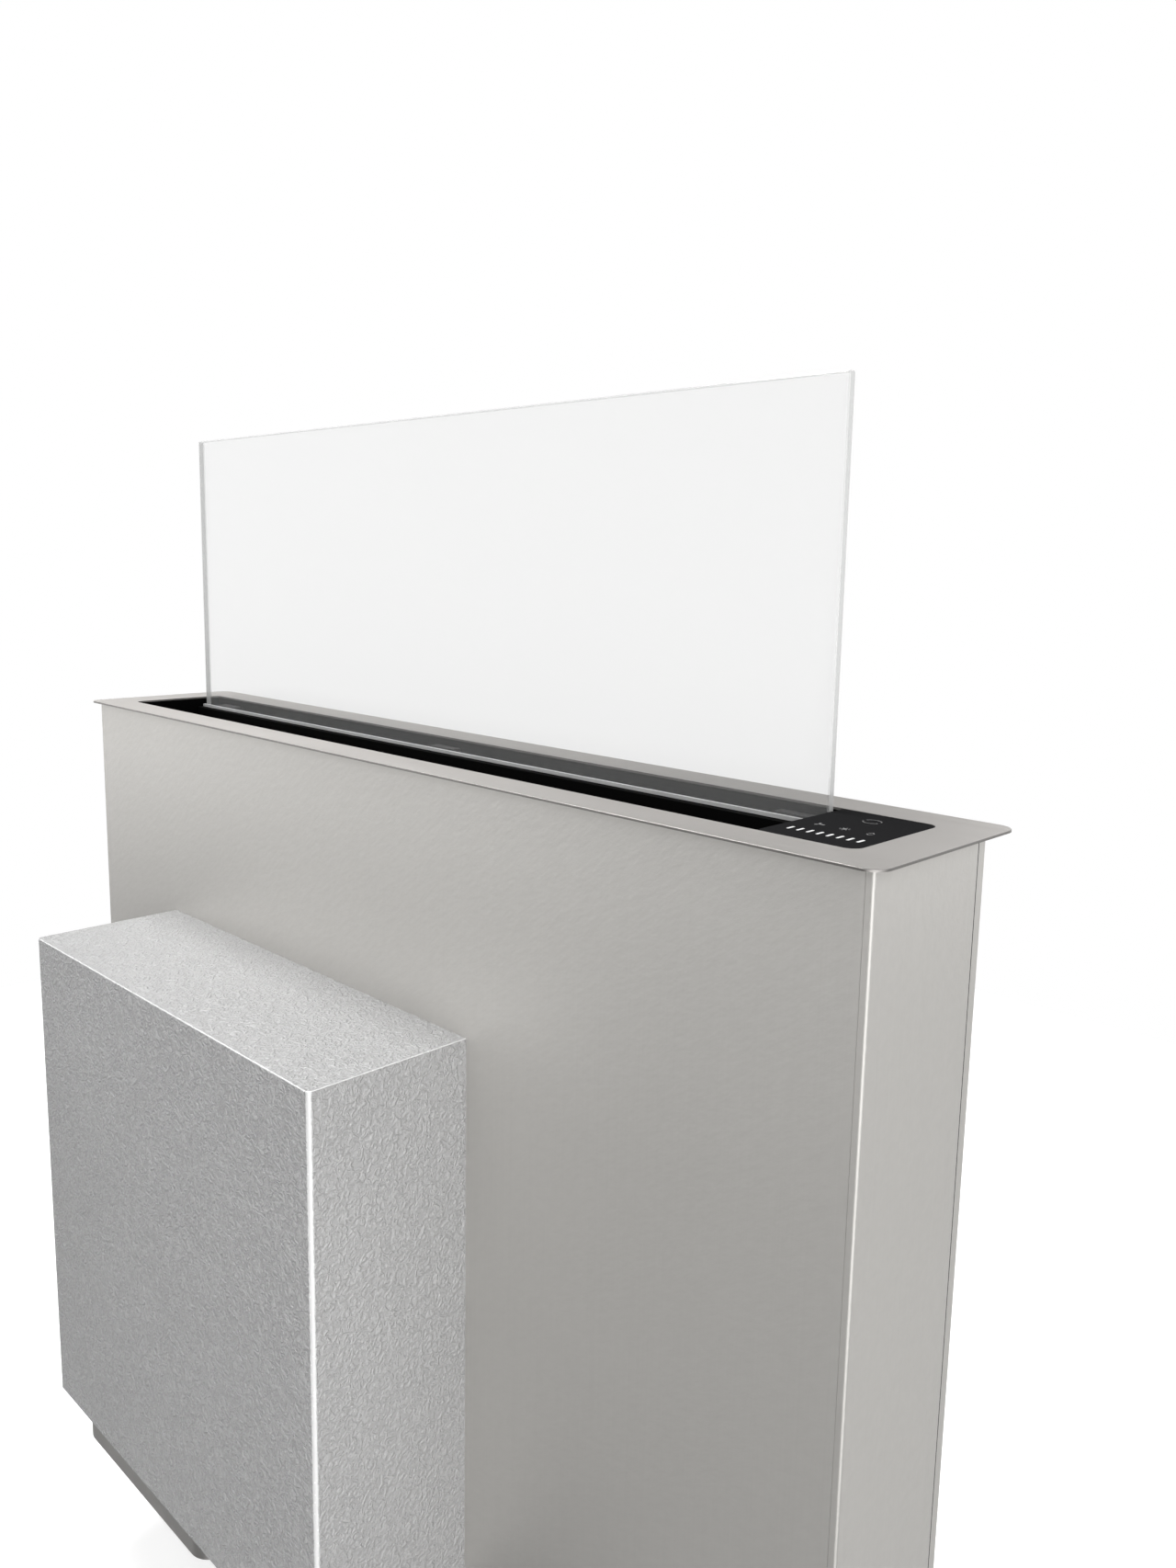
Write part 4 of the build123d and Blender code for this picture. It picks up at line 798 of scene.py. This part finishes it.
class VENT_OT_stage(DressOperator, bpy.types.Operator):
    """Lay the floor, set the lamps and place the camera"""
    bl_idname = "vent.stage"
    bl_label = "Stage"

    # Each lamp's name, its place, the point that it looks at, and its width
    lamps = (
        ("key", (0.0, -1.3, 1.1), (0.0, 0.0, -0.2), 0.9),
        ("side", (-2.0, -1.6, 0.6), (0.0, 0.0, -0.3), 2.4),
        ("top", (-0.7, -0.2, 1.5), (0.0, 0.0, 0.0), 0.9),
        ("fill", (2.4, -0.8, 0.7), (0.2, 0.0, -0.3), 4.0),
        ("back", (0.8, 2.4, 1.0), (0.0, 0.0, -0.3), 3.6),
        ("low", (1.5, -1.3, -0.8), (0.0, -0.1, -0.45), 2.0),
    )

    def execute(self, context):
        scene, settings = context.scene, context.scene.vent_stage
        self.floor(scene, settings)
        self.sky(scene, settings)
        for name, place, aim, size in self.lamps:
            self.lamp(scene, f"{name}_lamp", place, aim, size, getattr(settings, f"{name}_power"))
        self.camera(scene)
        scene.view_settings.view_transform = "Standard"
        return {"FINISHED"}

    @staticmethod
    def floor(scene, settings):
        """A pale floor just under the part, white to the camera where no shadow lies."""
        gap = 0.5 * MM
        shape = bmesh.new()
        bmesh.ops.create_grid(shape, x_segments=1, y_segments=1, size=settings.floor_reach)
        mesh = as_mesh("floor", moved(shape, (0.0, 0.0, CAD_BOX[0].z - gap)))
        floor = bpy.data.objects.new("floor", mesh)
        scene.collection.objects.link(floor)
        floor.visible_glossy = False
        finish = Finish("pale_floor", settings.floor_colour, 0.9)
        seen = finish.seen("Camera", "Glossy", "Transmission")
        finish.set("Specular IOR Level", 0.0).shade(finish.noise(3.0), 0.99, 1.01).shade(seen, 1.0, 0.75)
        glow = finish.out("ShaderNodeEmission", {"Strength": finish.spread(seen, 0.0, settings.floor_glow)})
        both = finish.out("ShaderNodeAddShader", {0: finish.shader.outputs[0], 1: glow})
        finish.feed(finish.tree.nodes["Material Output"].inputs["Surface"], both)
        mesh.materials.append(finish.material)

    @staticmethod
    def sky(scene, settings):
        """White to the camera and through glass; to the part, a dim room with a pale wall and floor."""
        scene.world = bpy.data.worlds.new("studio")
        scene.world.use_nodes = True
        nodes = Nodes(scene.world.node_tree)
        room = nodes.tree.nodes["Background"]
        way = nodes.node("ShaderNodeTexCoord").outputs["Generated"]
        strength = settings.ambient
        for direction, sharpness, share in (((-1.0, 0.0, 0.0), 2.0, settings.left_wall),
                                            ((0.38, 0.73, -0.57), 3.0, settings.far_floor)):
            along = nodes.node("ShaderNodeVectorMath", {0: way, 1: direction}, operation="DOT_PRODUCT")
            lobe = nodes.math("POWER", nodes.math("MAXIMUM", along.outputs["Value"], 0.0), sharpness)
            strength = nodes.math("ADD", strength, nodes.math("MULTIPLY", lobe, share))
        nodes.feed(room.inputs["Strength"], strength)
        nodes.feed(room.inputs["Color"], (1.0, 1.0, 1.0, 1.0))
        white = nodes.out("ShaderNodeBackground", {"Color": (1.0, 1.0, 1.0, 1.0)})
        mix = nodes.out("ShaderNodeMixShader", {0: nodes.seen("Camera", "Transmission"),
                                                1: room.outputs[0], 2: white})
        nodes.feed(nodes.tree.nodes["World Output"].inputs["Surface"], mix)

    @staticmethod
    def lamp(scene, name, place, aim, size, power):
        """A soft square lamp that looks at a point."""
        data = bpy.data.lights.new(name, "AREA")
        data.energy, data.size = power, size
        lamp = bpy.data.objects.new(name, data)
        lamp.location = place
        lamp.rotation_euler = (Vector(place) - Vector(aim)).to_track_quat("Z", "Y").to_euler()
        scene.collection.objects.link(lamp)

    @staticmethod
    def camera(scene):
        """The camera, set to the place and the lens that the photograph's edges gave."""
        focal_pixels, frame_pixels, sensor = 1318.05, 1706.0, 36.0
        data = bpy.data.cameras.new("camera")
        data.lens, data.sensor_width, data.shift_y = focal_pixels * sensor / frame_pixels, sensor, -0.0212
        data.clip_start, data.clip_end = 0.02, 60.0
        axes = Matrix(((0.71290131, 0.70101559, 0.01867779), (-0.12191487, 0.09766513, 0.98772379),
                       (0.69058561, -0.70642668, 0.15508982))).transposed()
        camera = bpy.data.objects.new("camera", data)
        camera.matrix_world = Matrix.Translation((0.73296, -0.57427, 0.14569)) @ axes.to_4x4()
        scene.collection.objects.link(camera)
        scene.camera = camera


class VENT_OT_body(DressOperator, bpy.types.Operator):
    """Finish the flange, the body's panels, the fan box and the plain sheets"""
    bl_idname = "vent.body"
    bl_label = "Body"

    def execute(self, context):
        dress("flange", "top_flange")
        dress("body", "front_panel", "side_panel_left", "side_panel_right", "rear_cover")
        dress("box", "fan_box", "fan_box_ends")
        dress("zinc", "bottom_plate", "air_divider", "uprights", "drip_tray", "fan_scroll", "duct_spigot",
              "floor_brackets", "fan_inlet_ring")
        dress("liner", "inlet_liner", "filter_frame_left", "filter_frame_right")
        self.seam_seals()
        return {"FINISHED"}

    @staticmethod
    def seam_seals():
        """A black strip in each seam between a side panel and the rear cover's edge."""
        low, high, _ = box_of("rear_cover")
        inner, outer = 1.3 * MM, 0.02 * MM
        strips = []
        for side, face in ((-1, low.x), (1, high.x)):
            near, far = sorted((face - side * inner, face - side * outer))
            strips.append(block((near, low.y - 0.75 * MM, low.z + MM), (far, low.y - 0.05 * MM, high.z - MM)))
        add_piece("seam_seals", strips, "chassis", "liner")


class VENT_OT_screen(DressOperator, bpy.types.Operator):
    """Finish the glass screen, its trim and its carrier"""
    bl_idname = "vent.screen"
    bl_label = "Glass Screen"

    def execute(self, context):
        dress("glass", "glass_panel")
        dress("aluminium", "lift_beam")
        dress("trim", "glass_trim")
        dress("liner", "clamp_bars")
        dress("rubber", "clamp_gaskets", "glass_wiper")
        dress("black_plastic", "carriages", "glass_guide_pads")
        dress("brass", "lift_nuts")
        return {"FINISHED"}


class VENT_OT_control(DressOperator, bpy.types.Operator):
    """Print the marks on the touch control and fit its board"""
    bl_idname = "vent.control"
    bl_label = "Touch Control"

    ink = 0.04 * MM

    def execute(self, context):
        settings = context.scene.vent_glass
        dress("control", "control_glass")
        dress("black_plastic", "control_housing")
        dress("board", "control_board")
        _, high, middle = box_of("control_glass")
        middle.z = high.z
        self.slider(settings, middle)
        signs = (self.fan_sign, self.lamp_sign, self.glass_sign)
        sign_pitch, sign_drop = 16.4 * MM, 4.0 * MM
        shapes = []
        for step, sign in enumerate(signs):
            shapes += sign(middle + Vector(((step - 1) * sign_pitch, -sign_drop, 0.0)))
        shapes += self.broken_ring(middle + Vector((0.0, 24.6 * MM, 0.0)))
        add_piece("control_signs", shapes, "chassis", "signs")
        self.fit_board()
        return {"FINISHED"}

    def slider(self, settings, middle):
        """The row of bars of the speed slider, each with its corners cut."""
        half_width, half_length, drop = 0.85 * MM, settings.bar_length / 2, 23.5 * MM
        corners = ((-1, -0.85), (-0.7, -1), (0.7, -1), (1, -0.85), (1, 0.85), (0.7, 1), (-0.7, 1), (-1, 0.85))
        bar = prism([(x * half_width, y * half_length) for x, y in corners], 0.0, self.ink)
        first = middle.x - settings.bar_pitch * (settings.bar_count - 1) / 2
        bars = in_rows(bar, "bars", settings.bar_count, (settings.bar_pitch, 0.0, 0.0),
                       (first, middle.y - drop, middle.z))
        add_piece("slider_bars", [bars], "chassis", "bars")

    def flat(self, *points):
        """Ink over an outline given in millimetres."""
        return prism([(x * MM, y * MM) for x, y in points], 0.0, self.ink)

    def disc(self, radius, count, place):
        """A round dot of ink."""
        return moved(prism(circle(radius, count), 0.0, self.ink), place)

    def broken_ring(self, place):
        """A ring of short dashes with two gaps."""
        dashes, gap = 17, 0.35
        arcs = []
        for start in (gap, math.pi + gap):
            dash = self.flat((-0.4, -0.5), (0.4, -0.5), (0.4, 0.5), (-0.4, 0.5))
            arcs.append(in_ring(dash, "signs", dashes, 5.2 * MM, Sweep=math.pi - 2 * gap, Start_Angle=start,
                                Centre=place))
        return arcs

    def fan_sign(self, place):
        """Three blades round a hub."""
        blade = self.flat((0.5, 0.0), (1.4, -1.0), (3.0, -0.8), (3.3, 0.4), (1.8, 0.7))
        return [in_ring(blade, "signs", 3, Centre=place), self.disc(0.7 * MM, 12, place)]

    def lamp_sign(self, place):
        """A disc with rays."""
        ray = self.flat((-0.6, -0.2), (0.6, -0.2), (0.6, 0.2), (-0.6, 0.2))
        return [in_ring(ray, "signs", 8, 2.7 * MM, Centre=place), self.disc(1.4 * MM, 16, place)]

    def glass_sign(self, place):
        """An arrow up and an arrow down."""
        arrow = [(0.0, 3.4), (-2.2, 0.8), (-1.4, 0.8), (0.0, 2.4), (1.4, 0.8), (2.2, 0.8)]
        return [moved(self.flat(*arrow), place), moved(self.flat(*[(-x, -y) for x, y in arrow]), place)]

    @staticmethod
    def fit_board():
        """Chips, lights and a plug on the control board."""
        low, _, middle = box_of("control_board")
        left, top = low.x + 9 * MM, low.z + BOARD_THICKNESS
        chip = block((left, middle.y - 5 * MM, top), (left + 10 * MM, middle.y + 5 * MM, top + 1.4 * MM),
                     0.2 * MM)
        plug = block((left, middle.y + 16 * MM, top), (left + 7 * MM, middle.y + 30 * MM, top + 4 * MM),
                     0.4 * MM)
        legs = []
        for side in (-1, 1):
            leg = block((-0.4 * MM, -0.2 * MM, 0.0), (0.4 * MM, 0.2 * MM, 0.8 * MM))
            start = (left + (5 + side * 5.3) * MM, middle.y - 4.2 * MM, top)
            legs.append(in_rows(leg, "plated", 8, (0.0, 1.2 * MM, 0.0), start))
        light = block((-0.8 * MM, -0.5 * MM, 0.0), (0.8 * MM, 0.5 * MM, 0.7 * MM))
        lights = in_rows(light, "grey_plastic", 8, (0.0, 4.5 * MM, 0.0),
                         (left + 16 * MM, middle.y - 31 * MM, top))
        add_piece("control_chip", [chip, plug], "chassis", "black_plastic")
        add_piece("control_pins", legs, "chassis", "plated")
        add_piece("control_lights", [lights], "chassis", "grey_plastic")


class VENT_OT_filters(DressOperator, bpy.types.Operator):
    """Weave the wire mesh of the two grease filters"""
    bl_idname = "vent.filters"
    bl_label = "Grease Filters"

    def execute(self, context):
        settings = context.scene.vent_filters
        pitch, radius = settings.wire_pitch, settings.wire_radius
        pressed = 0.8 * radius
        for end in ("left", "right"):
            low, high, middle = box_of(f"filter_core_{end}")
            span, rise = high - low, (high.z - low.z) / settings.layers
            shapes = []
            for along, across, lift in (((1, 0, 0), (0, 1, 0), -1), ((0, 1, 0), (1, 0, 0), 1)):
                along, across = Vector(along), Vector(across)
                half = span.dot(along) / 2
                wire = turned(prism(circle(radius, 6), -half, half), along)
                count = int(span.dot(across) / pitch)
                start = middle - across * pitch * (count - 1) / 2
                start.z = low.z + rise / 2 + lift * pressed
                shapes.append(in_rows(wire, "liner", count, across * pitch, start, Rows=settings.layers,
                                      Row_Step=(0.0, 0.0, rise)))
            add_piece(f"filter_mesh_{end}", shapes, f"grease_filter_{end}", "liner",
                      (f"filter_core_{end}",), smooth=70.0)
            dress("plated_pin", f"filter_handle_{end}")
        return {"FINISHED"}


class VENT_OT_drive(DressOperator, bpy.types.Operator):
    """Cut the threads and teeth of the lift drive"""
    bl_idname = "vent.drive"
    bl_label = "Lift Drive"

    rim_height = 2 * MM
    sunk = 0.3 * MM

    def execute(self, context):
        settings = context.scene.vent_drive
        dress("plated", "guide_rails")
        dress("grey_plastic", "screw_bearings")
        dress("coupling", "motor_coupling")
        for end in ("left", "right"):
            self.lead_screw(end, settings)
            self.pulley(end, settings)
        self.belt(settings)
        self.motor()
        return {"FINISHED"}

    def lead_screw(self, end, settings):
        """A rod with its threads."""
        low, high, middle = box_of(f"lead_screw_{end}")
        length, depth, edge = high.z - low.z, settings.thread_depth, 1.2 * MM
        core, run = (high.x - low.x) / 2 - depth, length - 4 * edge
        pitch = settings.lead / settings.starts
        rod = lathe(((0.0, 0.0), (core - edge, 0.0), (core, edge), (core, length - edge),
                     (core - edge, length), (0.0, length)), 20, closed=False)
        ridge = section(((-0.36 * pitch, -self.sunk), (0.36 * pitch, -self.sunk), (0.17 * pitch, depth),
                         (-0.17 * pitch, depth)))
        threads = tree_named("helix").grow(
            ridge, "plated", Turns=run / settings.lead, Height=run, Radius=core, Starts=settings.starts,
            Steps=10, Centre=(middle.x, middle.y, low.z + 2 * edge))
        add_piece(f"threaded_screw_{end}", [moved(rod, (middle.x, middle.y, low.z)), threads],
                  f"screw_{end}", "plated", (f"lead_screw_{end}",))

    def pulley(self, end, settings):
        """A toothed pulley with two rims."""
        low, high, middle = box_of(f"screw_pulley_{end}")
        middle.z = low.z
        rim, height, lip = (high.x - low.x) / 2, high.z - low.z, self.rim_height
        bore, tread, corner = 5 * MM, rim - self.rim_height, 0.4 * MM
        root, tip = tread - settings.tooth_height, settings.tooth_height
        hub = lathe(((bore, 0.0), (rim - corner, 0.0), (rim, corner), (rim, lip * 0.6), (root, lip),
                     (root, height - lip), (rim, height - lip * 0.6), (rim, height - corner),
                     (rim - corner, height), (bore, height)), 48)
        half = math.pi * tread / settings.pulley_teeth * 0.5
        tooth = prism([(-self.sunk, -half * 1.25), (tip, -half * 0.8), (tip, half * 0.8),
                       (-self.sunk, half * 1.25)], lip, height - lip)
        teeth = in_ring(tooth, "black_plastic", settings.pulley_teeth, root, Centre=middle)
        add_piece(f"toothed_pulley_{end}", [moved(hub, middle), teeth], f"screw_{end}", "black_plastic",
                  (f"screw_pulley_{end}",))

    def belt(self, settings):
        """Teeth on the two straight runs of the belt."""
        dress("rubber", "drive_belt")
        low, high, middle = box_of("drive_belt")
        pulley_low, pulley_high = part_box("screw_pulley_left")
        pitch = math.tau * ((pulley_high.x - pulley_low.x) / 2 - self.rim_height) / settings.pulley_teeth
        reach, thickness, margin, inset = (high.y - low.y) / 2, 1.5 * MM, 7 * MM, 0.2 * MM
        count = int((high.x - low.x - 2 * reach - 2 * margin) / pitch)
        outline = ((-0.3, 0.05), (0.3, 0.05), (0.2, -1.0), (-0.2, -1.0))
        runs = []
        for side in (-1, 1):
            tooth = prism([(x * pitch, side * (reach - thickness + y * settings.tooth_height))
                           for x, y in outline], low.z + inset, high.z - inset)
            runs.append(in_rows(tooth, "rubber", count, (pitch, 0.0, 0.0),
                                (middle.x - pitch * (count - 1) / 2, middle.y, 0.0)))
        add_piece("belt_teeth", runs, "chassis", "rubber")

    @staticmethod
    def motor():
        """The lift motor: a plate, a gear housing and a can with its end cap."""
        low, high, _ = box_of("lift_motor")
        _, _, centre = box_of("lead_screw_left")
        plate_thickness = 3 * MM
        centre.z = high.z - plate_thickness
        plate = block((low.x, low.y, centre.z), high, 0.3 * MM)
        bottom, wide, slim = low.z - centre.z, 14.5 * MM, 13.9 * MM
        boss, groove, socket, depth = 5 * MM, 13.5 * MM, 3.06 * MM, 15.9 * MM
        can = lathe((
            (0.0, bottom), (boss, bottom), (boss, bottom + 2 * MM), (wide - 2 * MM, bottom + 2 * MM),
            (slim, bottom + 3 * MM), (slim, bottom + 9 * MM), (wide, bottom + 9.5 * MM),
            (wide, -24 * MM), (groove, -23.5 * MM), (groove, -22.5 * MM), (wide, -22 * MM), (wide, -1 * MM),
            (wide - 0.5 * MM, 0.0), (socket, 0.0), (socket, -depth), (0.0, -depth)), 40, closed=False)
        add_piece("gear_motor", [plate, moved(can, centre)], "chassis", "motor",
                  ("lift_motor",))


class VENT_OT_fan(DressOperator, bpy.types.Operator):
    """Finish the fan and wind its stator"""
    bl_idname = "vent.fan"
    bl_label = "Fan"

    def execute(self, context):
        count = context.scene.vent_fittings.coil_count
        dress("wheel", "fan_wheel")
        dress("motor", "fan_rotor")
        dress("shaft", "fan_shaft")
        dress("rubber", "fan_mounts")
        low, high, _ = box_of("fan_stator")
        _, _, axis = box_of("fan_shaft")
        axis.y = low.y
        along = (0, 1, 0)
        rim, length, bore, corner = (high.x - low.x) / 2, high.y - low.y, 5.06 * MM, 1 * MM
        collar, hub = 9 * MM, 17 * MM
        plate = lathe(((bore, 0.0), (rim - corner, 0.0), (rim, corner), (rim, 3 * MM), (rim - corner, 4 * MM),
                       (16 * MM, 4 * MM), (14 * MM, collar), (bore, collar)), 48)
        core = lathe(((bore, collar), (hub, collar), (hub, length), (bore, length)), 40)
        pole_foot, pole_top = 11 * MM, length - 3 * MM
        pole = block((16 * MM, -2.2 * MM, pole_foot), (38 * MM, 2.2 * MM, pole_top), 0.3 * MM)
        shoe = ((38, -8.5), (39.9, -7.6), (40, 0), (39.9, 7.6), (38, 8.5), (37, 0))
        shoe = prism([(x * MM, y * MM) for x, y in shoe], pole_foot, pole_top)
        poles = in_ring(joined(pole, shoe), "motor", count)
        coil = block((20 * MM, -4.6 * MM, 9.5 * MM), (36.5 * MM, 4.6 * MM, length - 0.8 * MM), 1.6 * MM)
        coils = in_ring(coil, "copper", count)
        add_piece("stator_core", [moved(shape, axis, along) for shape in (plate, core, poles)], "chassis",
                  "motor", ("fan_stator",))
        add_piece("stator_coils", [moved(coils, axis, along)], "chassis", "copper")
        return {"FINISHED"}


class VENT_OT_outlet(DressOperator, bpy.types.Operator):
    """Finish the outlet flaps and wind their return springs"""
    bl_idname = "vent.outlet"
    bl_label = "Outlet Flaps"

    def execute(self, context):
        turns = float(context.scene.vent_fittings.spring_turns)
        dress("flap", "flap_front", "flap_rear")
        dress("plated_pin", "flap_pins")
        wire, radius, pin_inset = 0.4 * MM, 2.1 * MM, 2.5 * MM
        for end, side in (("front", -1), ("rear", 1)):
            low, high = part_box(f"flap_spring_{end}")
            tip = low.y if side < 0 else high.y
            pin_y = high.y - pin_inset if side < 0 else low.y + pin_inset
            coil = tree_named("helix").grow(section(circle(wire, 6)), "plated", Turns=turns,
                                            Height=high.x - low.x - 2 * wire, Radius=radius, Starts=1,
                                            Steps=12)
            coil = moved(coil, (low.x + wire, pin_y, high.z - pin_inset), (1, 0, 0))
            near, far = sorted((pin_y + side * radius * 0.6, tip))
            leg = moved(prism(circle(wire, 8), near, far), (high.x - wire, 0.0, low.z + wire), (0, 1, 0))
            add_piece(f"flap_coil_{end}", [coil, leg], f"outlet_flap_{end}", "plated_pin",
                      (f"flap_spring_{end}",), smooth=60.0)
        return {"FINISHED"}


class VENT_OT_screws(DressOperator, bpy.types.Operator):
    """Make the screws of the panels and of the glass clamp"""
    bl_idname = "vent.screws"
    bl_label = "Screws"

    shank = 2 * MM
    pan_radius, pan_height, pan_reach = 4 * MM, 2.2 * MM, 4.8 * MM
    cap_radius, cap_height = 3.5 * MM, 2.5 * MM

    def execute(self, context):
        share = context.scene.vent_fittings.recess_width
        pans = []
        for (direction, _), places in self.rows(islands("panel_screws")).items():
            step = (places[-1] - places[0]) / max(1, len(places) - 1)
            pan = screw(self.pan_radius, self.pan_height, self.shank, self.pan_reach, 4, share)
            pans.append(in_rows(turned(pan, direction), "plated_pin", len(places), step, places[0]))
        add_piece("pan_screws", pans, "chassis", "plated_pin", ("panel_screws",))
        caps, rows = [], {}
        for low, high in islands("clamp_screws"):
            middle = (low + high) / 2
            rows.setdefault(round(low.y, 4), []).append((middle.x, middle.y, low.z + self.cap_height, high.z))
        for places in rows.values():
            places.sort()
            step = (places[-1][0] - places[0][0]) / (len(places) - 1)
            x, y, seat, top = places[0]
            cap = screw(self.cap_radius, self.cap_height, self.shank, top - seat, 6, share * 0.85)
            caps.append(in_rows(turned(cap, (0, 0, -1)), "plated", len(places), (step, 0.0, 0.0),
                                (x, y, seat)))
        add_piece("cap_screws", caps, "glass_screen", "plated", ("clamp_screws",))
        return {"FINISHED"}

    def rows(self, boxes):
        """Screw seats in straight rows, by the way that they face and the sheet that they are on."""
        bracket_x, between_columns = 0.43, -0.08
        found = {}
        for low, high in boxes:
            middle = (low + high) / 2
            if abs(middle.x) > bracket_x:
                side = 1 if middle.x > 0 else -1
                middle.x = high.x - self.pan_height if side > 0 else low.x + self.pan_height
                found.setdefault(((side, 0, 0), "bracket"), []).append(middle)
            else:
                sheet = "cover" if middle.y > 0 else "box"
                column = "_right" if middle.x > between_columns else "_left"
                middle.y = high.y - self.pan_height
                found.setdefault(((0, 1, 0), sheet + column), []).append(middle)
        for places in found.values():
            places.sort(key=lambda place: (place.z, place.y))
        return found


class VENT_OT_electrics(DressOperator, bpy.types.Operator):
    """Fit the power board, the terminals, the capacitor and the cable gland"""
    bl_idname = "vent.electrics"
    bl_label = "Electrics"

    def execute(self, context):
        dress("board", "power_board")
        dress("black_plastic", "control_unit")
        dress("grey_plastic", "terminal_box", "run_capacitor")
        self.power_parts()
        self.gland(context.scene.vent_fittings.gland_ribs)
        return {"FINISHED"}

    @staticmethod
    def power_parts():
        """Capacitors, relays, fins and terminals in rows on the power board."""
        low, high, _ = box_of("power_board")
        pillars = 6 * MM
        front = high.y - pillars - BOARD_THICKNESS

        def row(shape, finish, count, pitch, x, z):
            """A row that begins x and z from the board's corner, all in millimetres."""
            return in_rows(shape, finish, count, (pitch * MM, 0.0, 0.0),
                           (low.x + x * MM, front, low.z + z * MM))

        profile = ((0, 0), (5, 0), (5, 1), (4.7, 1.6), (5, 2.2), (5, 17.5), (4.5, 18), (0, 18))
        can = turned(lathe([(radius * MM, height * MM) for radius, height in profile], 20, closed=False),
                     (0, -1, 0))
        relay = block((-9 * MM, -15 * MM, -7 * MM), (9 * MM, 0.0, 7 * MM), 0.6 * MM)
        add_piece("board_cans", [row(can, "black_plastic", 4, 14, 18, 62),
                                 row(relay, "black_plastic", 3, 21, 20, 34)],
                  "chassis", "black_plastic")
        fin = block((-0.5 * MM, -24 * MM, 0.0), (0.5 * MM, 0.0, 13 * MM), 0.2 * MM)
        add_piece("board_fins", [row(fin, "aluminium", 9, 3.2, 26, 72)], "chassis", "aluminium")
        terminal = block((-3.6 * MM, -11 * MM, -5 * MM), (3.6 * MM, 0.0, 5 * MM), 0.5 * MM)
        add_piece("board_terminals", [row(terminal, "grey_plastic", 8, 7.6, 14.5, 16)], "chassis",
                  "grey_plastic")

    @staticmethod
    def gland(rib_count):
        """Lock nut, hexagon, ribbed dome nut and rubber seal."""
        low, high, place = box_of("cable_gland")
        place.z = low.z
        height, bore, wall = high.z - low.z, 4 * MM, 4.8 * MM
        box_floor, nut_height, nut_radius = 14 * MM, 5 * MM, 10.95 * MM
        hexagons = []
        for base in (box_floor - nut_height, box_floor + 1.2 * MM):
            hexagon = rounded(prism(circle(nut_radius, 6), 0.0, nut_height), 0.5 * MM)
            hexagons.append(moved(hexagon, (place.x, place.y, place.z + base)))
        dome_radius, dome_height, tube = 8.8 * MM, 8.8 * MM, 8 * MM
        dome = lathe(((wall, 0.0), (6.6 * MM, 0.0), (8 * MM, 0.8 * MM), (8.6 * MM, 2.4 * MM),
                      (dome_radius, dome_height), (wall, dome_height)), 40)
        tube = lathe(((wall, dome_height), (tube, dome_height), (tube, height - 0.5 * MM),
                      (tube - 0.5 * MM, height), (wall, height)), 40)
        rib = block((-0.6 * MM, -0.45 * MM, 2.4 * MM), (0.5 * MM, 0.45 * MM, 8.6 * MM), 0.2 * MM)
        ribs = in_ring(rib, "black_plastic", rib_count, dome_radius, Centre=place)
        add_piece("ribbed_gland", [*hexagons, moved(dome, place), moved(tube, place), ribs], "chassis",
                  "black_plastic", ("cable_gland",))
        seal = lathe(((bore, 0.4 * MM), (wall, 0.1 * MM), (wall, 20 * MM), (bore, 20 * MM)), 40)
        add_piece("gland_seal", [moved(seal, place)], "chassis", "rubber")


class VENT_PT_sidebar(bpy.types.Panel):
    """Lists the settings and the steps that dress the vent"""
    bl_idname = "VENT_PT_sidebar"
    bl_label = "Downdraft Vent"
    bl_space_type = "VIEW_3D"
    bl_region_type = "UI"
    bl_category = "Downdraft Vent"

    def draw(self, context):
        for step in STEPS:
            self.layout.operator(step.bl_idname)
        for attribute, group in SETTINGS.items():
            box = self.layout.box()
            box.label(text=attribute.replace("vent_", "").title())
            for name in group.__annotations__:
                box.prop(getattr(context.scene, attribute), name)


STEPS = (VENT_OT_stage, VENT_OT_body, VENT_OT_screen, VENT_OT_control, VENT_OT_filters, VENT_OT_drive,
         VENT_OT_fan, VENT_OT_outlet, VENT_OT_screws, VENT_OT_electrics)
SETTINGS = {"vent_sheet": SheetSettings, "vent_glass": GlassSettings, "vent_filters": FilterSettings,
            "vent_drive": DriveSettings, "vent_fittings": FittingSettings, "vent_stage": StageSettings}


def register():
    """Registers the settings, the steps and the sidebar."""
    for group in SETTINGS.values():
        bpy.utils.register_class(group)
    for attribute, group in SETTINGS.items():
        setattr(bpy.types.Scene, attribute, PointerProperty(type=group))
    for step in STEPS:
        bpy.utils.register_class(step)
    bpy.utils.register_class(VENT_PT_sidebar)


def unregister():
    """Takes everything out again."""
    bpy.utils.unregister_class(VENT_PT_sidebar)
    for step in reversed(STEPS):
        bpy.utils.unregister_class(step)
    for attribute, group in reversed(SETTINGS.items()):
        delattr(bpy.types.Scene, attribute)
        bpy.utils.unregister_class(group)


def main():
    """Dresses the part step by step."""
    register()
    for step in STEPS:
        area, name = step.bl_idname.split(".")
        getattr(getattr(bpy.ops, area), name)()


if __name__ == "__main__":
    main()
